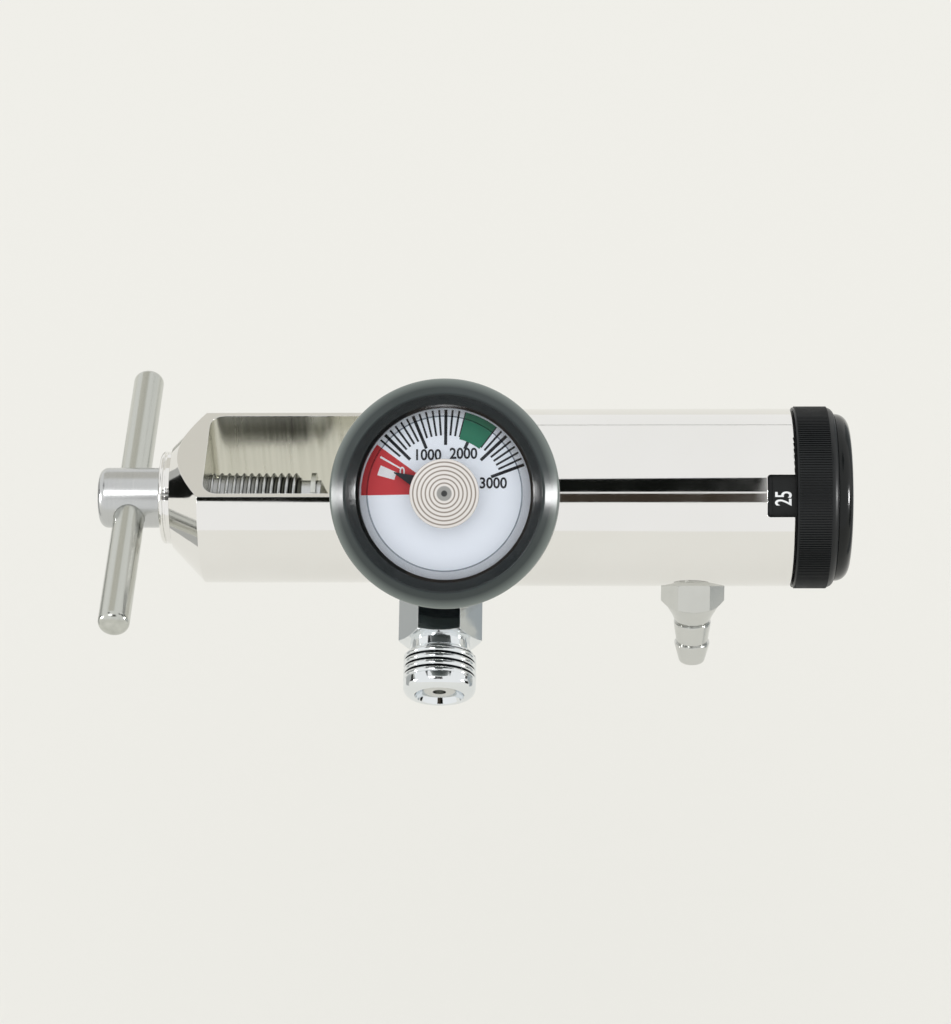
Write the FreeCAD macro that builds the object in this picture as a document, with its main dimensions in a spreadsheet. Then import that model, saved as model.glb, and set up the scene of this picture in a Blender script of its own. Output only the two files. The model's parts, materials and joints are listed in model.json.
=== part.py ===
import FreeCAD, Part
import math
import os
import Sketcher

# Oxygen regulator that clamps on a post valve: a yoke and a round body in one piece, a clamp screw with a T bar,
# a pressure gauge in a rubber boot, a threaded outlet, a hose barb and a flow knob.
# Millimetres. X runs along the body from the clamp screw to the knob, Z is the way the valve post stands in the
# yoke, -Y is the front. The origin is where the body's axis meets the sealing face of the inlet washer.

doc = FreeCAD.newDocument("OxygenRegulator")
sheet = doc.addObject("Spreadsheet::Sheet", "Sizes")

# Driving sizes: positions along the body are named ..._x, distances out from the body's axis ..._out
DRIVING = {
    "Fits": {
        "fit_gap": 0.05, "running_gap": 0.1, "ring_gap": 0.08, "through": 1.0, "spring_gap": 0.05,
    },
    "Clamp screw": {
        "hub_out": 12.7, "hub_radius": 6.05, "hub_length": 12.4, "hub_round": 1.7,
        "hub_bore_gap": 0.025, "bar_in": 6.3, "bar_radius": 3.1, "bar_length": 72.0, "bar_angle": 0.0,
        "bar_round": 1.5, "thread_radius": 4.95, "thread_end_x": -17.7, "thread_chamfer": 0.6,
        "neck_radius": 3.5, "neck_end_x": -13.7, "tip_radius": 3.4, "tip_flat": 0.5, "tip_length": 1.5,
        "clip_x": -15.6, "clip_thickness": 1.0, "clip_radius": 5.0, "clip_groove": 2.75,
        "clip_gap": 2.0,
    },
    "Yoke and body": {
        "cone_length": 8.7, "boss_radius": 9.3, "boss_length": 2.3, "boss_round": 0.6,
        "boss_groove_in": 1.3, "boss_groove_width": 0.5, "boss_groove_depth": 0.6, "nose_radius": 10.4,
        "yoke_length": 36.9, "yoke_radius": 17.1, "body_radius": 17.8, "step_x": 6.0,
        "body_end_x": 80.3, "flat_height": 12.0, "screw_bore_gap": 0.05, "window_wall": 0.9,
        "seat_x": 2.4, "window_width": 22.5, "window_corner": 3.0, "end_round": 0.5, "end_wall": 0.9,
        "recess_gap": 0.35, "bonnet_step": 1.3, "chamber_wall": 4.3,
    },
    "Inlet": {
        "nipple_radius": 3.0, "nipple_out": 1.2, "nipple_shank": 2.7, "nipple_end_x": 8.8,
        "inlet_bore": 1.5, "washer_radius": 6.35, "washer_bore": 3.05, "filter_length": 3.0,
        "filter_recess": 0.24, "pin_radius": 1.985, "pin_out": 5.8, "pin_side": 4.416,
        "pin_drop": 13.59, "pin_chamfer": 0.5, "pin_shank": 1.6, "pin_depth": 5.6, "pin_hole_end": 0.2,
    },
    "Pressure stage": {
        "high_bore": 2.0, "nozzle_x": 20.0, "nozzle_end_x": 24.4, "nozzle_slope": 1.2,
        "nozzle_lip": 1.6, "nozzle_hole": 0.8, "stem_bore": 4.0, "stem_radius": 3.25, "stem_x": 25.2,
        "stem_hole": 1.2, "seat_radius": 2.2, "seat_length": 1.5, "cross_hole": 0.84,
        "cross_hole_x": 28.5, "chamber_x": 34.0, "piston_back": 28.3, "piston_length": 5.0,
        "ring_wire": 0.95, "ring_groove": 1.1, "small_ring_wire": 0.8, "small_ring_groove": 0.92,
        "stem_ring_x": 31.2, "spring_radius": 10.0, "spring_wire": 1.0, "spring_turns": 5.0,
    },
    "Flow selector": {
        "flow_back": 23.0, "flow_end_back": 14.3, "left_ring_back": 21.3, "right_ring_back": 16.9,
        "gallery_width": 1.4, "gallery_depth": 1.25, "hole_circle": 7.5, "return_hole": 1.0,
        "side_hole": 0.55, "supply_circle": 10.5, "supply_hole": 0.7, "well_depth": 0.5,
        "well_margin": 0.2, "seal_wire": 0.5, "seal_radius": 1.9, "seal_recess": 2.5,
        "seal_recess_depth": 1.0, "seal_rise": 0.03, "disc_radius": 9.4, "disc_thickness": 2.0,
        "disc_gap": 0.1, "first_orifice": 0.3, "orifice_step": 0.05, "dish_radius": 6.4,
        "dish_inner": 3.8, "dish_thickness": 0.3, "dish_gap": 0.02, "spindle_radius": 3.25,
        "spindle_flange": 5.0, "spindle_flange_back": 11.3, "spindle_end_past": 3.7,
        "shoulder_back": 10.8, "bonnet_back": 10.7, "bonnet_end_back": 6.1, "bonnet_face_back": 10.3,
        "bonnet_lip": 1.5, "recess_back": 5.9, "detent_circle": 11.5, "ball_radius": 1.59,
        "ball_back": 6.35, "dimple_gap": 0.06, "detent_bore": 1.7, "detent_end_back": 9.7,
        "detent_wire": 0.2, "detent_coil": 1.0, "detent_turns": 3.0, "clicks": 12.0,
    },
    "Knob": {
        "knob_back": 5.3, "knob_ring_past": 0.3, "knob_overhang": 0.2, "knob_end_past": 8.5,
        "knob_round": 1.6, "knob_wall": 2.0, "knob_web": 2.2, "knob_hub": 6.0, "hub_gap": 0.03,
        "cap_step": 1.3, "cap_end_past": 11.4, "cap_round": 2.6, "cap_wall": 1.7, "cap_spigot": 2.0,
        "scale_back": 4.5, "scale_end_back": 0.1, "scale_thickness": 0.35, "scale_window_back": 5.6,
        "scale_window_width": 8.3, "scale_window_corner": 0.6, "screw_radius": 1.2, "screw_head": 3.6,
        "screw_head_length": 1.6, "screw_head_round": 0.8, "screw_length": 6.5, "screw_hole_end": 0.5,
    },
    "Gauge": {
        "gauge_x": 12.8, "gauge_angle": 45.0, "gauge_port": 5.0, "gauge_spot": 1.2, "spot_radius": 9.2,
        "socket_root": 6.8, "port_floor": 0.3, "socket_foot": 0.7, "socket_foot_radius": 7.4,
        "square": 5.7, "square_across": 12.7, "square_turned": 8.6, "socket_neck": 2.8,
        "socket_block": 3.5, "socket_block_radius": 6.5, "socket_way": 1.0, "socket_arm": 15.4,
        "socket_arm_width": 5.0, "case_seat": 1.0, "case_radius": 19.8, "case_wall": 0.9,
        "tube_inset": 5.8, "tube_wire": 1.3, "tube_rise": 3.2, "tube_sweep": 250.0, "plate_radius": 9.0,
        "plate_boss_radius": 4.5, "plate_thickness": 0.8, "plate_boss": 1.3, "pillar": 3.6,
        "dial_post": 4.1, "post_radius": 0.9, "post_side": 6.5, "post_up": 5.0, "shaft_radius": 0.6,
        "pinion_radius": 1.2, "pinion_rise": 2.0, "pinion_length": 1.6, "sector_radius": 6.35,
        "sector_rise": 2.4, "sector_thickness": 0.8, "sector_boss": 0.4, "sector_width": 46.0,
        "sector_lead": 10.12, "mesh_gap": 0.05, "dial_inset": 1.4, "dial_thickness": 0.6,
        "pointer_gap": 0.7, "pointer_thickness": 0.4, "pointer_reach": 10.4, "pointer_tail": 3.6,
        "pointer_root": 1.3, "pointer_tip": 0.4, "pointer_hub": 2.0, "pointer_angle": 157.3,
        "bezel_width": 2.7, "bezel_height": 2.4, "lens_thickness": 1.4, "lens_step_inset": 1.8,
        "lens_step": 0.15, "bull_radius": 6.5, "bull_height": 0.65, "bull_round": 0.4, "boot_wall": 1.7,
        "boot_rise": 2.4, "boot_crest": 3.0, "boot_slope": 2.6, "boot_lip": 0.5,
        "boot_crest_round": 0.4, "boot_gap": 0.05, "boot_base": 0.7, "boot_round": 1.2,
    },
    "Threaded outlet": {
        "outlet_x": 10.7, "outlet_angle": -22.5, "outlet_port": 6.0, "outlet_spot": 2.5,
        "outlet_root": 5.3, "collar_radius": 7.7, "collar": 3.9, "outlet_hex": 14.29,
        "outlet_hex_length": 12.0, "outlet_relief": 2.1, "outlet_neck": 5.9, "outlet_thread": 7.14,
        "outlet_thread_length": 9.0, "outlet_round": 1.7, "outlet_mouth": 3.75, "mouth_depth": 3.7,
        "outlet_bore": 3.25, "bore_depth": 16.3, "outlet_feed": 2.0, "poppet_radius": 3.2,
        "poppet_inset": 0.8, "poppet_length": 3.1, "poppet_round": 0.5, "poppet_hole": 1.3,
        "poppet_hole_depth": 1.7, "poppet_stem": 1.3, "poppet_stem_length": 10.6,
        "poppet_spring_wire": 0.35, "poppet_turns": 7.0, "gasket_thickness": 0.8, "hex_chamfer": 0.45,
    },
    "Hose barb": {
        "barb_back": 19.1, "barb_angle": -67.5, "barb_spot": 1.2, "barb_spot_radius": 6.7,
        "barb_root": 2.8, "barb_port_floor": 2.0, "barb_thread": 3.9, "barb_hex": 11.11,
        "barb_hex_length": 6.3, "barb_shoulder": 2.3, "barb_shoulder_radius": 4.2, "barb_neck": 3.35,
        "barb_bore": 1.2, "barb_ridge": 3.75, "barb_ridge_step": 0.2, "barb_ridge_flat": 0.4,
        "barb_first_ridge": 4.2, "barb_length": 13.2, "barb_tip": 2.5, "barb_tip_round": 0.9,
    },
    "Gas ways": {
        "gallery_hole": 1.1, "gallery_land": 0.95, "gallery_end_back": 22.5, "gallery_link": 0.55,
        "gallery_link_back": 23.0, "vent_x": 37.0, "vent_hole": 0.8, "vent_angle": 225.0,
    },
}


def text_of(other):
    return other.text if isinstance(other, Size) else repr(float(other))


def value_of(other):
    return other.value if isinstance(other, Size) else float(other)


class Size:
    """A driving size or a sum made from some: the expression that binds it, and its value in millimetres."""

    def __init__(self, text, value):
        self.text = text
        self.value = value

    def __add__(self, other):
        return Size(f"({self.text} + {text_of(other)})", self.value + value_of(other))

    def __radd__(self, other):
        return Size(f"({text_of(other)} + {self.text})", value_of(other) + self.value)

    def __sub__(self, other):
        return Size(f"({self.text} - {text_of(other)})", self.value - value_of(other))

    def __rsub__(self, other):
        return Size(f"({text_of(other)} - {self.text})", value_of(other) - self.value)

    def __mul__(self, other):
        return Size(f"({self.text} * {text_of(other)})", self.value * value_of(other))

    def __rmul__(self, other):
        return Size(f"({text_of(other)} * {self.text})", value_of(other) * self.value)

    def __truediv__(self, other):
        return Size(f"({self.text} / {text_of(other)})", self.value / value_of(other))


class Sizes:
    """The driving sizes by name."""


size = Sizes()
row = 1
for heading, entries in DRIVING.items():
    sheet.set(f"A{row}", heading)
    for name, number in entries.items():
        row += 1
        sheet.set(f"A{row}", name)
        sheet.set(f"B{row}", str(number))
        sheet.setAlias(f"B{row}", name)
        setattr(size, name, Size(f"Sizes.{name}", number))
    row += 2
doc.recompute()

# Places along the body, from the yoke's and the body's lengths
size.cone_end_x = size.yoke_length * -1
size.window_x = size.cone_end_x + size.window_wall
size.boss_x = size.cone_end_x - size.cone_length
size.boss_groove_x = size.boss_x + size.boss_groove_in
size.hub_end_x = size.boss_x - size.hub_out
size.bar_x = size.hub_end_x + size.bar_in
size.piston_x = size.body_end_x - size.piston_back
size.flow_x = size.body_end_x - size.flow_back
size.flow_end_x = size.body_end_x - size.flow_end_back
size.left_ring_x = size.body_end_x - size.left_ring_back
size.right_ring_x = size.body_end_x - size.right_ring_back
size.spindle_flange_x = size.body_end_x - size.spindle_flange_back
size.shoulder_x = size.body_end_x - size.shoulder_back
size.bonnet_x = size.body_end_x - size.bonnet_back
size.bonnet_end_x = size.body_end_x - size.bonnet_end_back
size.bonnet_face_x = size.body_end_x - size.bonnet_face_back
size.recess_x = size.body_end_x - size.recess_back
size.ball_x = size.body_end_x - size.ball_back
size.detent_end_x = size.body_end_x - size.detent_end_back
size.knob_x = size.body_end_x - size.knob_back
size.scale_x = size.body_end_x - size.scale_back
size.scale_end_x = size.body_end_x - size.scale_end_back
size.scale_window_x = size.body_end_x - size.scale_window_back
size.barb_x = size.body_end_x - size.barb_back
size.gallery_end_x = size.body_end_x - size.gallery_end_back
size.gallery_link_x = size.body_end_x - size.gallery_link_back
size.spindle_end_x = size.body_end_x + size.spindle_end_past
size.knob_ring_x = size.body_end_x + size.knob_ring_past
size.knob_end_x = size.body_end_x + size.knob_end_past
size.cap_end_x = size.body_end_x + size.cap_end_past

# Sizes that follow from the driving ones
size.recess_radius = size.body_radius - size.end_wall
size.skirt_radius = size.recess_radius - size.recess_gap - size.scale_thickness
size.knob_radius = size.body_radius + size.knob_overhang
size.cap_radius = size.knob_radius - size.cap_step
size.bonnet_radius = size.recess_radius - size.bonnet_step
size.chamber_radius = size.body_radius - size.chamber_wall
size.piston_radius = size.chamber_radius - size.running_gap
size.flow_radius = size.chamber_radius - size.fit_gap
size.gallery_out = size.chamber_radius + size.gallery_land + size.gallery_hole

size.socket_seat = size.body_radius - size.gauge_spot
size.socket_out = size.socket_seat - size.socket_root
size.square_out = size.socket_seat + size.socket_foot
size.square_end = size.square_out + size.square
size.socket_block_out = size.square_end + size.socket_neck
size.socket_block_end = size.socket_block_out + size.socket_block
size.socket_radius = size.gauge_port - size.running_gap
size.case_out = size.square_end + size.case_seat
size.tube_radius = size.case_radius - size.tube_inset
size.tube_out = size.socket_block_out + size.tube_rise
size.back_plate_out = size.socket_block_end + size.plate_boss
size.plate_face = size.back_plate_out + size.plate_thickness
size.front_plate_out = size.plate_face + size.pillar
size.dial_back = size.front_plate_out + size.plate_thickness + size.dial_post
size.dial_out = size.dial_back + size.dial_thickness
size.dial_radius = size.case_radius - size.case_wall - size.dial_inset
size.pointer_out = size.dial_out + size.pointer_gap
size.bezel_radius = size.case_radius - size.case_wall - size.running_gap
size.view_radius = size.bezel_radius - size.bezel_width
size.bezel_end = size.dial_out + size.bezel_height
size.lens_out = size.bezel_end + size.running_gap
size.case_end = size.lens_out + size.lens_thickness
size.boot_radius = size.case_radius + size.boot_wall
size.boot_end = size.case_end + size.boot_rise

size.collar_out = size.body_radius - size.outlet_spot
size.outlet_foot = size.collar_out - size.outlet_root
size.outlet_hex_out = size.collar_out + size.collar
size.outlet_hex_end = size.outlet_hex_out + size.outlet_hex_length
size.neck_out = size.outlet_hex_end + size.outlet_relief
size.outlet_end = size.neck_out + size.outlet_thread_length
size.mouth_out = size.outlet_end - size.mouth_depth
size.bore_out = size.outlet_end - size.bore_depth
size.poppet_end = size.outlet_end - size.poppet_inset
size.poppet_out = size.poppet_end - size.poppet_length

size.barb_seat = size.body_radius - size.barb_spot
size.barb_foot = size.barb_seat - size.barb_root
size.barb_hex_end = size.barb_seat + size.barb_hex_length
size.barb_end = size.barb_hex_end + size.barb_length


class Frame:
    """An axis that pieces are turned on: its place along the body and its angle above the front, or the body's axis."""

    def __init__(self, along=None, angle=None):
        self.along = along
        self.angle = angle.value if angle else None

    def rotation(self):
        if self.angle is None:
            return FreeCAD.Rotation(FreeCAD.Vector(0, 1, 0), 90)
        return FreeCAD.Rotation(FreeCAD.Vector(1, 0, 0), 90 - self.angle)

    def offsets(self, out, right, up):
        """Where a point lies that is out along the axis, and right and up across it, as seen from outside."""
        if self.angle is None:
            return out, right, up
        cosine = math.cos(math.radians(self.angle))
        sine = math.sin(math.radians(self.angle))
        return self.along + right, up * sine - out * cosine, out * sine + up * cosine


BODY_AXIS = Frame()
BAR = Frame(size.bar_x, size.bar_angle)
GAUGE = Frame(size.gauge_x, size.gauge_angle)
OUTLET = Frame(size.outlet_x, size.outlet_angle)
BARB = Frame(size.barb_x, size.barb_angle)

subparts = []


def bind(item, name, amount):
    """Gives a property its size, bound to the sheet where the size comes from there."""
    if isinstance(amount, Size):
        item.setExpression(name, amount.text)
    else:
        setattr(item, name, amount)


def place(item, frame, out=0.0, right=0.0, up=0.0, turn=0.0):
    """Sets an item's own Z along the frame's axis, starting at the distance out, and binds its position."""
    spin = FreeCAD.Rotation(FreeCAD.Vector(0, 0, 1), turn)
    offsets = frame.offsets(out, right, up)
    base = FreeCAD.Vector(*[value_of(amount) for amount in offsets])
    item.Placement = FreeCAD.Placement(base, frame.rotation() * spin)
    for axis, amount in zip("xyz", offsets):
        if isinstance(amount, Size):
            item.setExpression(f"Placement.Base.{axis}", amount.text)
    return item


def keep(item, label):
    """Names a finished sub-part."""
    item.Label = label
    subparts.append(item)
    return item


def drawn(body, points, plane):
    """A closed outline of straight lines through the points, each held by its two distances from the origin."""
    sketch = body.newObject("Sketcher::SketchObject", f"{body.Name}_outline")
    origin = [item for item in body.Origin.OriginFeatures if item.Role == plane][0]
    sketch.AttachmentSupport = [(origin, "")]
    sketch.MapMode = "FlatFace"
    corners = [FreeCAD.Vector(value_of(across), value_of(along), 0) for across, along in points]
    for number, corner in enumerate(corners):
        following = corners[(number + 1) % len(corners)]
        sketch.addGeometry(Part.LineSegment(corner, following), False)
    for number, point in enumerate(points):
        sketch.addConstraint(Sketcher.Constraint("Coincident", number - 1 if number else len(points) - 1, 2, number, 1))
        for kind, axis_line, amount in (("DistanceX", -2, point[0]), ("DistanceY", -1, point[1])):
            if isinstance(amount, Size):
                held = sketch.addConstraint(Sketcher.Constraint(kind, -1, 1, number, 1, amount.value))
                sketch.setExpression(f"Constraints[{held}]", amount.text)
            elif amount == 0:
                sketch.addConstraint(Sketcher.Constraint("PointOnObject", number, 1, axis_line))
            else:
                sketch.addConstraint(Sketcher.Constraint(kind, -1, 1, number, 1, float(amount)))
    return sketch


def rings_at(shape, radius, height):
    """The names of the round edges of that radius at that height on the Z axis."""
    names = []
    for number, edge in enumerate(shape.Edges, 1):
        curve = edge.Curve
        if isinstance(curve, Part.Circle) and abs(curve.Radius - radius) < 1e-4:
            if abs(curve.Center.z - height) < 1e-4 and math.hypot(curve.Center.x, curve.Center.y) < 1e-4:
                names.append(f"Edge{number}")
    return names


def turned(label, frame, points, rounds=(), out=0.0):
    """A piece turned on the frame's axis: points are (distance along the axis, radius), rounds are (point, radius)."""
    body = doc.addObject("PartDesign::Body", f"{label}_turned")
    sketch = drawn(body, [(radius, along) for along, radius in points], "XZ_Plane")
    feature = body.newObject("PartDesign::Revolution", f"{label}_revolution")
    feature.Profile = sketch
    feature.ReferenceAxis = (sketch, ["V_Axis"])
    feature.Angle = 360.0
    doc.recompute()
    for number, radius in rounds:
        along, across = [value_of(amount) for amount in points[number]]
        fillet = body.newObject("PartDesign::Fillet", f"{label}_round")
        fillet.Base = (feature, rings_at(feature.Shape, across, along))
        bind(fillet, "Radius", radius)
        doc.recompute()
        feature = fillet
    place(body, frame, out)
    return body


def cylinder(label, frame, radius, out, length, right=0.0, up=0.0):
    item = doc.addObject("Part::Cylinder", label)
    bind(item, "Radius", radius)
    bind(item, "Height", length)
    return place(item, frame, out, right, up)


def ring(label, frame, radius, wire, out, right=0.0, up=0.0):
    """A rubber ring of round section."""
    item = doc.addObject("Part::Torus", label)
    bind(item, "Radius1", radius)
    bind(item, "Radius2", wire)
    return place(item, frame, out, right, up)


def cut(label, base, tools):
    """The base less all the tools."""
    result = base
    for tool in tools:
        step = doc.addObject("Part::Cut", label)
        step.Base = result
        step.Tool = tool
        result = step
    return result


def joined(label, items):
    result = doc.addObject("Part::MultiFuse", label)
    result.Shapes = items
    return result


def spring(label, frame, radius, wire, start, length, turns, right=0.0):
    """A coil spring between two seats, its wire just clear of both."""
    rise = length - wire * 2 - size.spring_gap * 2
    helix = doc.addObject("Part::Helix", f"{label}_path")
    bind(helix, "Radius", radius)
    bind(helix, "Height", rise)
    bind(helix, "Pitch", rise / turns)
    section = doc.addObject("Part::Circle", f"{label}_section")
    bind(section, "Radius", wire)
    section.Placement = FreeCAD.Placement(
        FreeCAD.Vector(radius.value, 0, 0), FreeCAD.Rotation(FreeCAD.Vector(1, 0, 0), 90)
    )
    section.setExpression("Placement.Base.x", radius.text)
    coil = doc.addObject("Part::Sweep", label)
    coil.Sections = [section]
    coil.Spine = (helix, [])
    coil.Solid = True
    coil.Frenet = True
    return place(coil, frame, start + wire + size.spring_gap, right)


def with_flats(label, blank, frame, start, end, across, sides):
    """The turned blank with flats between two distances along its axis: a hexagon or a square for a wrench."""
    sleeve = cylinder(f"{label}_sleeve", frame, across, start, end - start)
    prism = doc.addObject("Part::Prism", f"{label}_prism")
    prism.Polygon = sides
    bind(prism, "Circumradius", across / 2 / math.cos(math.pi / sides))
    bind(prism, "Height", end - start)
    place(prism, frame, start)
    return cut(label, blank, [cut(f"{label}_flats", sleeve, [prism])])


def make_clamp_screw():
    hub_x = size.hub_end_x + size.hub_length
    clip_side = size.clip_x + size.clip_thickness + size.fit_gap
    tip_x = size.neck_end_x + size.tip_length
    blank = turned(
        "screw",
        BODY_AXIS,
        [
            (size.hub_end_x, 0),
            (size.hub_end_x, size.hub_radius),
            (hub_x, size.hub_radius),
            (hub_x, size.thread_radius),
            (size.thread_end_x - size.thread_chamfer, size.thread_radius),
            (size.thread_end_x, size.thread_radius - size.thread_chamfer),
            (size.thread_end_x, size.neck_radius),
            (size.clip_x, size.neck_radius),
            (size.clip_x, size.clip_groove),
            (clip_side, size.clip_groove),
            (clip_side, size.neck_radius),
            (size.neck_end_x, size.neck_radius),
            (size.neck_end_x, size.tip_radius),
            (tip_x, size.tip_flat),
            (tip_x, 0),
        ],
        [(1, size.hub_round)],
    )
    reach = size.hub_radius + size.through
    hole = cylinder("bar_hole", BAR, size.bar_radius + size.hub_bore_gap, reach * -1, reach * 2)
    keep(cut("screw_drilled", blank, [hole]), "clamp_screw")


def make_tee_bar():
    half = size.bar_length / 2
    bar = turned(
        "bar",
        BAR,
        [(half * -1, 0), (half * -1, size.bar_radius), (half, size.bar_radius), (half, 0)],
        [(1, size.bar_round), (2, size.bar_round)],
    )
    keep(bar, "tee_bar")


def make_screw_clip():
    """A split ring that stops the screw from being wound right out of the yoke."""
    clip_start = size.clip_x + size.fit_gap
    clip_end = size.clip_x + size.clip_thickness
    clip_bore = size.clip_groove + size.fit_gap
    whole = turned(
        "clip",
        BODY_AXIS,
        [
            (clip_start, clip_bore),
            (clip_end, clip_bore),
            (clip_end, size.clip_radius),
            (clip_start, size.clip_radius),
        ],
    )
    slot = doc.addObject("Part::Box", "clip_slot")
    bind(slot, "Length", size.clip_thickness + size.through * 2)
    bind(slot, "Width", size.clip_gap)
    bind(slot, "Height", size.clip_radius * 2)
    slot.setExpression("Placement.Base.x", (size.clip_x - size.through).text)
    slot.setExpression("Placement.Base.y", (size.clip_gap / -2).text)
    slot.setExpression("Placement.Base.z", (size.clip_radius * -2).text)
    keep(cut("clip_split", whole, [slot]), "screw_clip")


def yoke_outline():
    nose_x = size.boss_x + size.boss_length
    groove_floor = size.boss_radius - size.boss_groove_depth
    return [
        (size.boss_x, 0),
        (size.boss_x, size.boss_radius),
        (size.boss_groove_x - size.boss_groove_width, size.boss_radius),
        (size.boss_groove_x - size.boss_groove_width, groove_floor),
        (size.boss_groove_x, groove_floor),
        (size.boss_groove_x, size.boss_radius),
        (nose_x, size.boss_radius),
        (nose_x, size.nose_radius),
        (size.cone_end_x, size.yoke_radius),
        (size.step_x, size.yoke_radius),
        (size.step_x, size.body_radius),
        (size.body_end_x, size.body_radius),
        (size.body_end_x, 0),
    ]


def body_bore():
    """The stepped bore from the knob's end: recess, bonnet seat, spring chamber, stem bore and high pressure way."""
    past_end = size.body_end_x + size.through
    groove = size.small_ring_groove
    groove_radius = size.stem_radius + size.small_ring_wire * 2 + size.ring_gap * 2
    bonnet_seat = size.bonnet_radius + size.running_gap
    return turned(
        "body_bore",
        BODY_AXIS,
        [
            (size.nipple_end_x, 0),
            (size.nipple_end_x, size.high_bore),
            (size.nozzle_x, size.high_bore),
            (size.nozzle_x, size.stem_bore),
            (size.stem_ring_x - groove, size.stem_bore),
            (size.stem_ring_x - groove, groove_radius),
            (size.stem_ring_x + groove, groove_radius),
            (size.stem_ring_x + groove, size.stem_bore),
            (size.chamber_x, size.stem_bore),
            (size.chamber_x, size.chamber_radius),
            (size.shoulder_x, size.chamber_radius),
            (size.shoulder_x, bonnet_seat),
            (size.recess_x, bonnet_seat),
            (size.recess_x, size.recess_radius),
            (past_end, size.recess_radius),
            (past_end, 0),
        ],
    )


def rounded_slot(label, corners, length, corner_radius, skip_x=None):
    """A straight tool of four sides whose long edges are rounded, apart from those at skip_x."""
    tool = doc.addObject("PartDesign::Body", label)
    sketch = drawn(tool, corners, "XY_Plane")
    pad = tool.newObject("PartDesign::Pad", f"{label}_pad")
    pad.Profile = sketch
    bind(pad, "Length", length)
    doc.recompute()
    upright = []
    for number, edge in enumerate(pad.Shape.Edges, 1):
        along = edge.Vertexes[0].Point.x
        is_upright = abs(edge.tangentAt(edge.FirstParameter).z) > 0.99
        if is_upright and (skip_x is None or abs(along - skip_x) > 1e-4):
            upright.append(f"Edge{number}")
    fillet = tool.newObject("PartDesign::Fillet", f"{label}_corners")
    fillet.Base = (pad, upright)
    bind(fillet, "Radius", corner_radius)
    doc.recompute()
    return tool


def yoke_window():
    """The opening that the valve post stands in, with rounded corners."""
    half = size.window_width / 2
    corners = [
        (size.window_x, half * -1), (size.seat_x, half * -1), (size.seat_x, half), (size.window_x, half),
    ]
    depth = size.yoke_radius * 2 + size.through * 2
    tool = rounded_slot("window_tool", corners, depth, size.window_corner)
    tool.setExpression("Placement.Base.z", (depth / -2).text)
    return tool


def number_window():
    """The notch in the body's end that shows one flow number, with rounded corners."""
    past_end = size.body_end_x + size.through
    half = size.scale_window_width / 2
    start = size.scale_window_x - size.gauge_x
    end = past_end - size.gauge_x
    corners = [(start, half * -1), (end, half * -1), (end, half), (start, half)]
    tool = rounded_slot("number_tool", corners, size.body_radius, size.scale_window_corner, end.value)
    return place(tool, GAUGE, size.recess_radius - size.through * 2)


def make_yoke_body():
    blank = turned("yoke", BODY_AXIS, yoke_outline(), [(1, size.boss_round), (11, size.end_round)])
    flat = doc.addObject("Part::Box", "yoke_flat")
    bind(flat, "Length", size.step_x - size.boss_x + size.through)
    bind(flat, "Width", size.yoke_radius * 2 + size.through * 2)
    bind(flat, "Height", size.yoke_radius)
    flat.setExpression("Placement.Base.x", (size.boss_x - size.through).text)
    flat.setExpression("Placement.Base.y", (size.yoke_radius * -1 - size.through).text)
    flat.setExpression("Placement.Base.z", size.flat_height.text)
    screw_bore = cylinder(
        "screw_bore", BODY_AXIS, size.thread_radius + size.screw_bore_gap, size.boss_x - size.through,
        size.window_x - size.boss_x + size.through * 2,
    )
    seat_start = size.seat_x - size.through
    inlet_bore = cylinder(
        "inlet_hole", BODY_AXIS, size.nipple_shank + size.fit_gap, seat_start, size.nipple_end_x - seat_start
    )
    pin_holes = [
        cylinder(
            "pin_hole", BODY_AXIS, size.pin_shank + size.fit_gap, seat_start,
            size.pin_depth + size.pin_hole_end + size.through, size.pin_side * side, size.pin_drop * -1,
        )
        for side in (-1, 1)
    ]
    gauge_port = cylinder(
        "gauge_port", GAUGE, size.gauge_port, size.socket_out - size.port_floor, size.body_radius
    )
    gauge_way = cylinder("gauge_way", GAUGE, size.inlet_bore, 0, size.socket_out)
    gauge_spot = cylinder("gauge_spot", GAUGE, size.spot_radius, size.socket_seat, size.body_radius)
    outlet_port = cylinder(
        "outlet_port", OUTLET, size.outlet_port, size.outlet_foot - size.port_floor, size.body_radius
    )
    outlet_spot = cylinder(
        "outlet_spot", OUTLET, size.collar_radius + size.port_floor, size.collar_out, size.body_radius
    )
    barb_port = cylinder(
        "barb_port", BARB, size.barb_thread + size.running_gap, size.barb_foot - size.barb_port_floor,
        size.body_radius,
    )
    barb_spot = cylinder("barb_spot", BARB, size.barb_spot_radius, size.barb_seat, size.body_radius)
    cosine = math.cos(math.radians(size.outlet_angle.value))
    sine = math.sin(math.radians(size.outlet_angle.value))
    gallery = cylinder(
        "gallery", BODY_AXIS, size.gallery_hole, size.outlet_x, size.gallery_end_x - size.outlet_x,
        size.gallery_out * -cosine, size.gallery_out * sine,
    )
    gallery_link = cylinder(
        "gallery_link", Frame(size.gallery_link_x, size.outlet_angle), size.gallery_link,
        size.chamber_radius - size.through, size.gallery_out - size.chamber_radius + size.through,
    )
    vent = cylinder(
        "vent", Frame(size.vent_x, size.vent_angle), size.vent_hole, size.chamber_radius - size.through,
        size.body_radius,
    )
    tools = [flat, yoke_window(), screw_bore, body_bore(), inlet_bore, *pin_holes, gauge_port]
    tools += [gauge_way, gauge_spot, outlet_port, outlet_spot, barb_port, barb_spot, gallery, gallery_link]
    keep(cut("yoke_cut", blank, tools + [vent, number_window()]), "yoke_body")


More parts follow.
